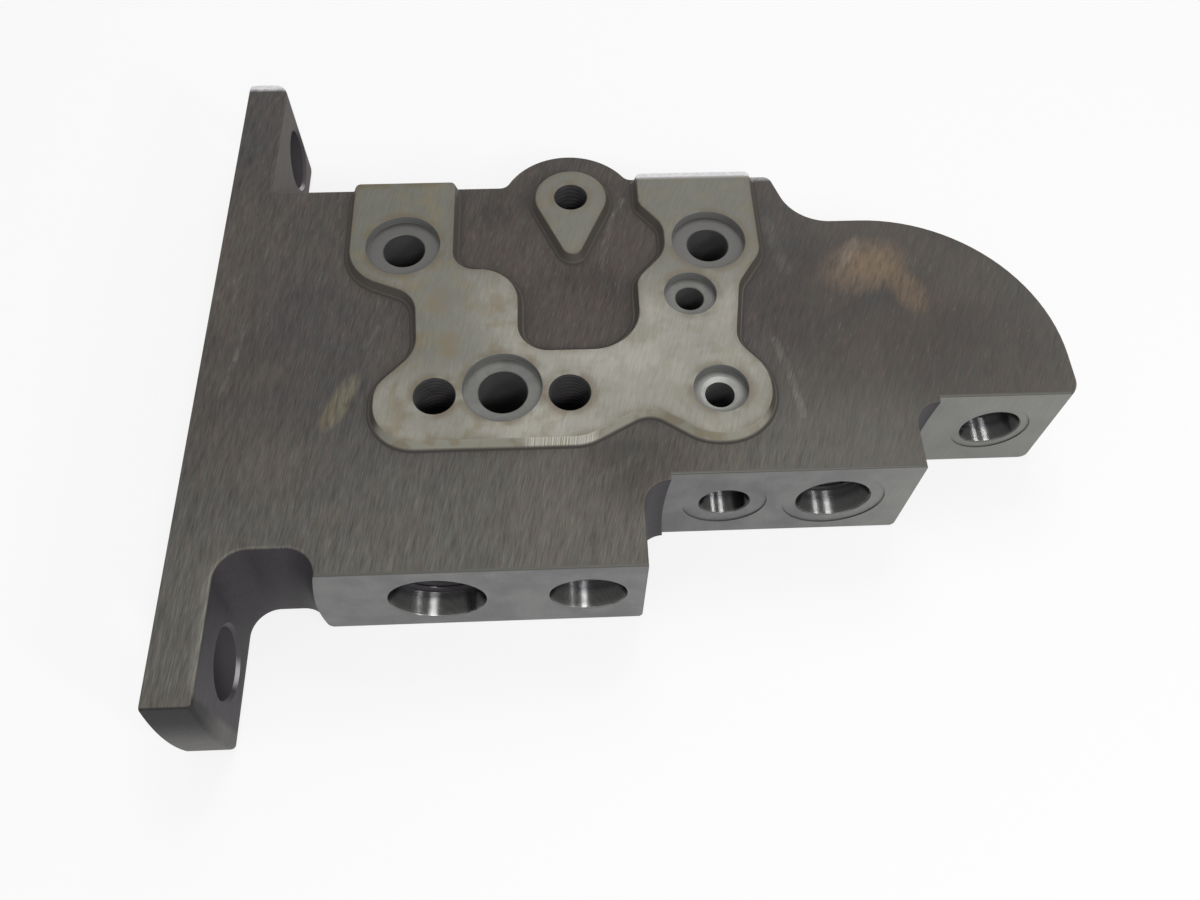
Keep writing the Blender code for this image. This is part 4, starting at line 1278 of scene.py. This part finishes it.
# Turning rings in the port bores: half their spacing in millimetres, and the slope of their sides,
# which grows along the drawing, so that each bore draws out the two front lamps' reflections
RING_HALF_SPACING = 0.2
RING_SLOPE = 0.525
RING_SLOPE_GROWTH = 0.00074


def port_bore(f):
    """Turned port bores: fine rings that draw highlights out along the bore, and painted shade that
    darkens them deep inside.
    """
    second = f.x.above(STEP_1_RIGHT / MM - 0.1, STEP_1_RIGHT / MM)
    third = f.x.above(STEP_2_RIGHT / MM - 0.1, STEP_2_RIGHT / MM)
    deep = f.y - second * (FACE_2_BACK / MM) - third * (FACE_3_BACK / MM)
    # Painted shade: the bores are painted darker the deeper in they go.
    colour = f.covered(
        linear(112, 112, 110),
        (deep.above(0.0, 2.5), (90, 90, 89)),
        (deep.above(4.5, 8.0), (58, 56, 59)),
    )
    rings = f.maths("PINGPONG", f.y, RING_HALF_SPACING) * (RING_SLOPE + f.x * RING_SLOPE_GROWTH)
    return f.shade(colour, rough=0.20, metallic=deep.below(6.0, 9.0), bump=rings)


def drilling_finish(f):
    """Drilled passages: bare grey metal that little light reaches."""
    return f.shade(f.clouded(7.0, (74, 74, 74), (82, 81, 81)), rough=0.6)


def bolt_thread(f):
    """Oily dark threads of the ports and bolt holes, and the walls of the ear holes."""
    colour = f.clouded(5.0, (64, 63, 64), (72, 71, 71))
    colour = f.covered(colour, (f.z.below(37, 41), (76, 73, 76)))
    return f.shade(colour, rough=0.7, specular=0.1)


def rims_and_glints(f):
    """Bright rims round the lower pad port's drilling, and dark rims of the ear holes with a painted
    highlight at their foot.
    """
    # A painted highlight low in each ear hole, at its foot.
    front_glint = f.y.between(-24, -19, -17, -12)
    back_glint = f.y.between(184, 189, 191, 196)
    painted_glint = f.z.below(10.5, 14.0) * front_glint.most(back_glint)
    ear_colour = f.covered(linear(62, 58, 61), (painted_glint, (190, 186, 192)))
    port_colour = f.clouded(4.0, (176, 176, 172), (194, 194, 190))
    return f.shade(f.mixed(f.x.below(20, 30), port_colour, ear_colour), rough=0.5)


def bright_bevel(f):
    """The narrow machined bevels at the back of the ear and of the pad's right arm, painted near white
    as a painted highlight.
    """
    # Near white: painted highlight on the bare machined bevel.
    return f.shade(f.clouded(2.0, (222, 220, 223), (236, 234, 237)), rough=0.4)


# The camera of the photograph, found from the block's straight edges and right angles: its place
# in the frame, and in radians its heading to the right of Y, its tilt down and its roll
PHOTO_WIDTH_PX = 1200
FOCAL_PX = 1016.3
SENSOR_WIDTH_MM = 36.0
CAMERA_PLACE = (-0.025002, -0.206394, 0.332529)
CAMERA_HEADING = 0.06405537
CAMERA_DOWN = 1.06041607
CAMERA_ROLL = 0.02626647


def photo_camera():
    """A camera that sees the part as the photograph shows it."""
    data = bpy.data.cameras.new("photo camera")
    data.sensor_fit = "HORIZONTAL"
    data.sensor_width = SENSOR_WIDTH_MM
    data.lens = FOCAL_PX / PHOTO_WIDTH_PX * SENSOR_WIDTH_MM
    camera = in_scene("photo camera", data)
    heading = Matrix.Rotation(-CAMERA_HEADING, 4, "Z")
    tilt = Matrix.Rotation(math.pi / 2 - CAMERA_DOWN, 4, "X")
    roll = Matrix.Rotation(CAMERA_ROLL, 4, "Z")
    camera.matrix_world = Matrix.Translation(CAMERA_PLACE) @ heading @ tilt @ roll
    bpy.context.scene.camera = camera


# The studio: a lamp gives its direction from the part, its distance, its size and its brightness
SKY_LIGHT = 0.37
FLOOR_LIGHT = (0.5, 0.5, 0.5, 1.0)
FLOOR_SEEN = (0.97, 0.97, 0.97, 1.0)
WHITE = (1.0, 1.0, 1.0, 1.0)
FLOOR_GLOW = 0.8
FLOOR_SIZE = 3.0
FLOOR_DROP = 0.0002
LAMPS = [
    ("softbox behind", (0.10, 0.50, 0.86), 1.2, (0.60, 0.60), 3.6),
    ("narrow lamp at the front right", (0.62, -0.56, 0.55), 1.0, (0.11, 0.20), 24.0),
    ("lamp at the front", (0.15, -0.68, 0.72), 1.0, (0.20, 0.20), 21.0),
]


def soft_lamp(name, direction, distance, size, radiance):
    """A rectangular lamp that points at the part."""
    data = bpy.data.lights.new(name, "AREA")
    data.shape = "RECTANGLE"
    data.size, data.size_y = size
    data.energy = radiance * math.pi * size[0] * size[1]
    lamp = in_scene(name, data)
    away = Vector(direction).normalized()
    lamp.location = away * distance
    lamp.rotation_euler = (-away).to_track_quat("-Z", "Y").to_euler()


def pale_floor():
    """A floor that throws plain light on the part, and looks nearly white to the camera."""
    material = bpy.data.materials.new("pale_floor")
    material.use_nodes = True
    s = Shader(material.node_tree)
    seen = s.seen_directly()
    colour = s.mixed(seen, FLOOR_LIGHT, FLOOR_SEEN)
    lit = s.node("ShaderNodeBsdfDiffuse", {}, {"Color": colour}).value()
    glow = s.node("ShaderNodeEmission", {}, {"Color": WHITE}).value()
    surface = s.node("ShaderNodeMixShader", {}, {0: seen * FLOOR_GLOW, 1: lit, 2: glow})
    s.node("ShaderNodeOutputMaterial", {}, {"Surface": surface.value()})
    bm = bmesh.new()
    bmesh.ops.create_grid(bm, x_segments=1, y_segments=1, size=FLOOR_SIZE)
    floor = mesh_object("floor", bm, [material])
    floor.location = (0, 0, -FLOOR_DROP)


def studio():
    """The pale floor, a white world behind it and soft lamps."""
    pale_floor()
    world = bpy.data.worlds.new("studio")
    bpy.context.scene.world = world
    world.use_nodes = True
    s = Shader(world.node_tree)
    strength = SKY_LIGHT + s.seen_directly() * (1 - SKY_LIGHT)
    background = s.node("ShaderNodeBackground", {}, {"Color": WHITE, "Strength": strength})
    s.node("ShaderNodeOutputWorld", {}, {"Surface": background.value()})
    for name, direction, distance, size, radiance in LAMPS:
        soft_lamp(name, direction, distance, size, radiance)
    bpy.context.scene.view_settings.view_transform = "Standard"


def main():
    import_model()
    low = Vector(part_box(BODY_NODE)[0])
    origin = Vector((low.x, low.y - FLANGE_FRONT + EAR_CROWN, low.z))
    photo_camera()
    studio()
    makers = (cast_skin, milled_pad, milled_face, recess_finish, port_bore, drilling_finish,
              bolt_thread, rims_and_glints, bright_bevel)
    FINISHES.extend(maker(Finish(maker.__name__, origin)) for maker in makers)
    body = raw_casting()
    body.name = "cast_and_machined_body"
    add_pads(body)
    mill_faces(body)
    bevel_back_ear(body)
    drill_ears(body)
    bore_pad_ports(body)
    drill_bolt_holes(body)
    drill_front_ports(body)
    join_ports(body)
    finish_solid(body, origin)
    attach(body, "root")
    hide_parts(BODY_NODE)


main()
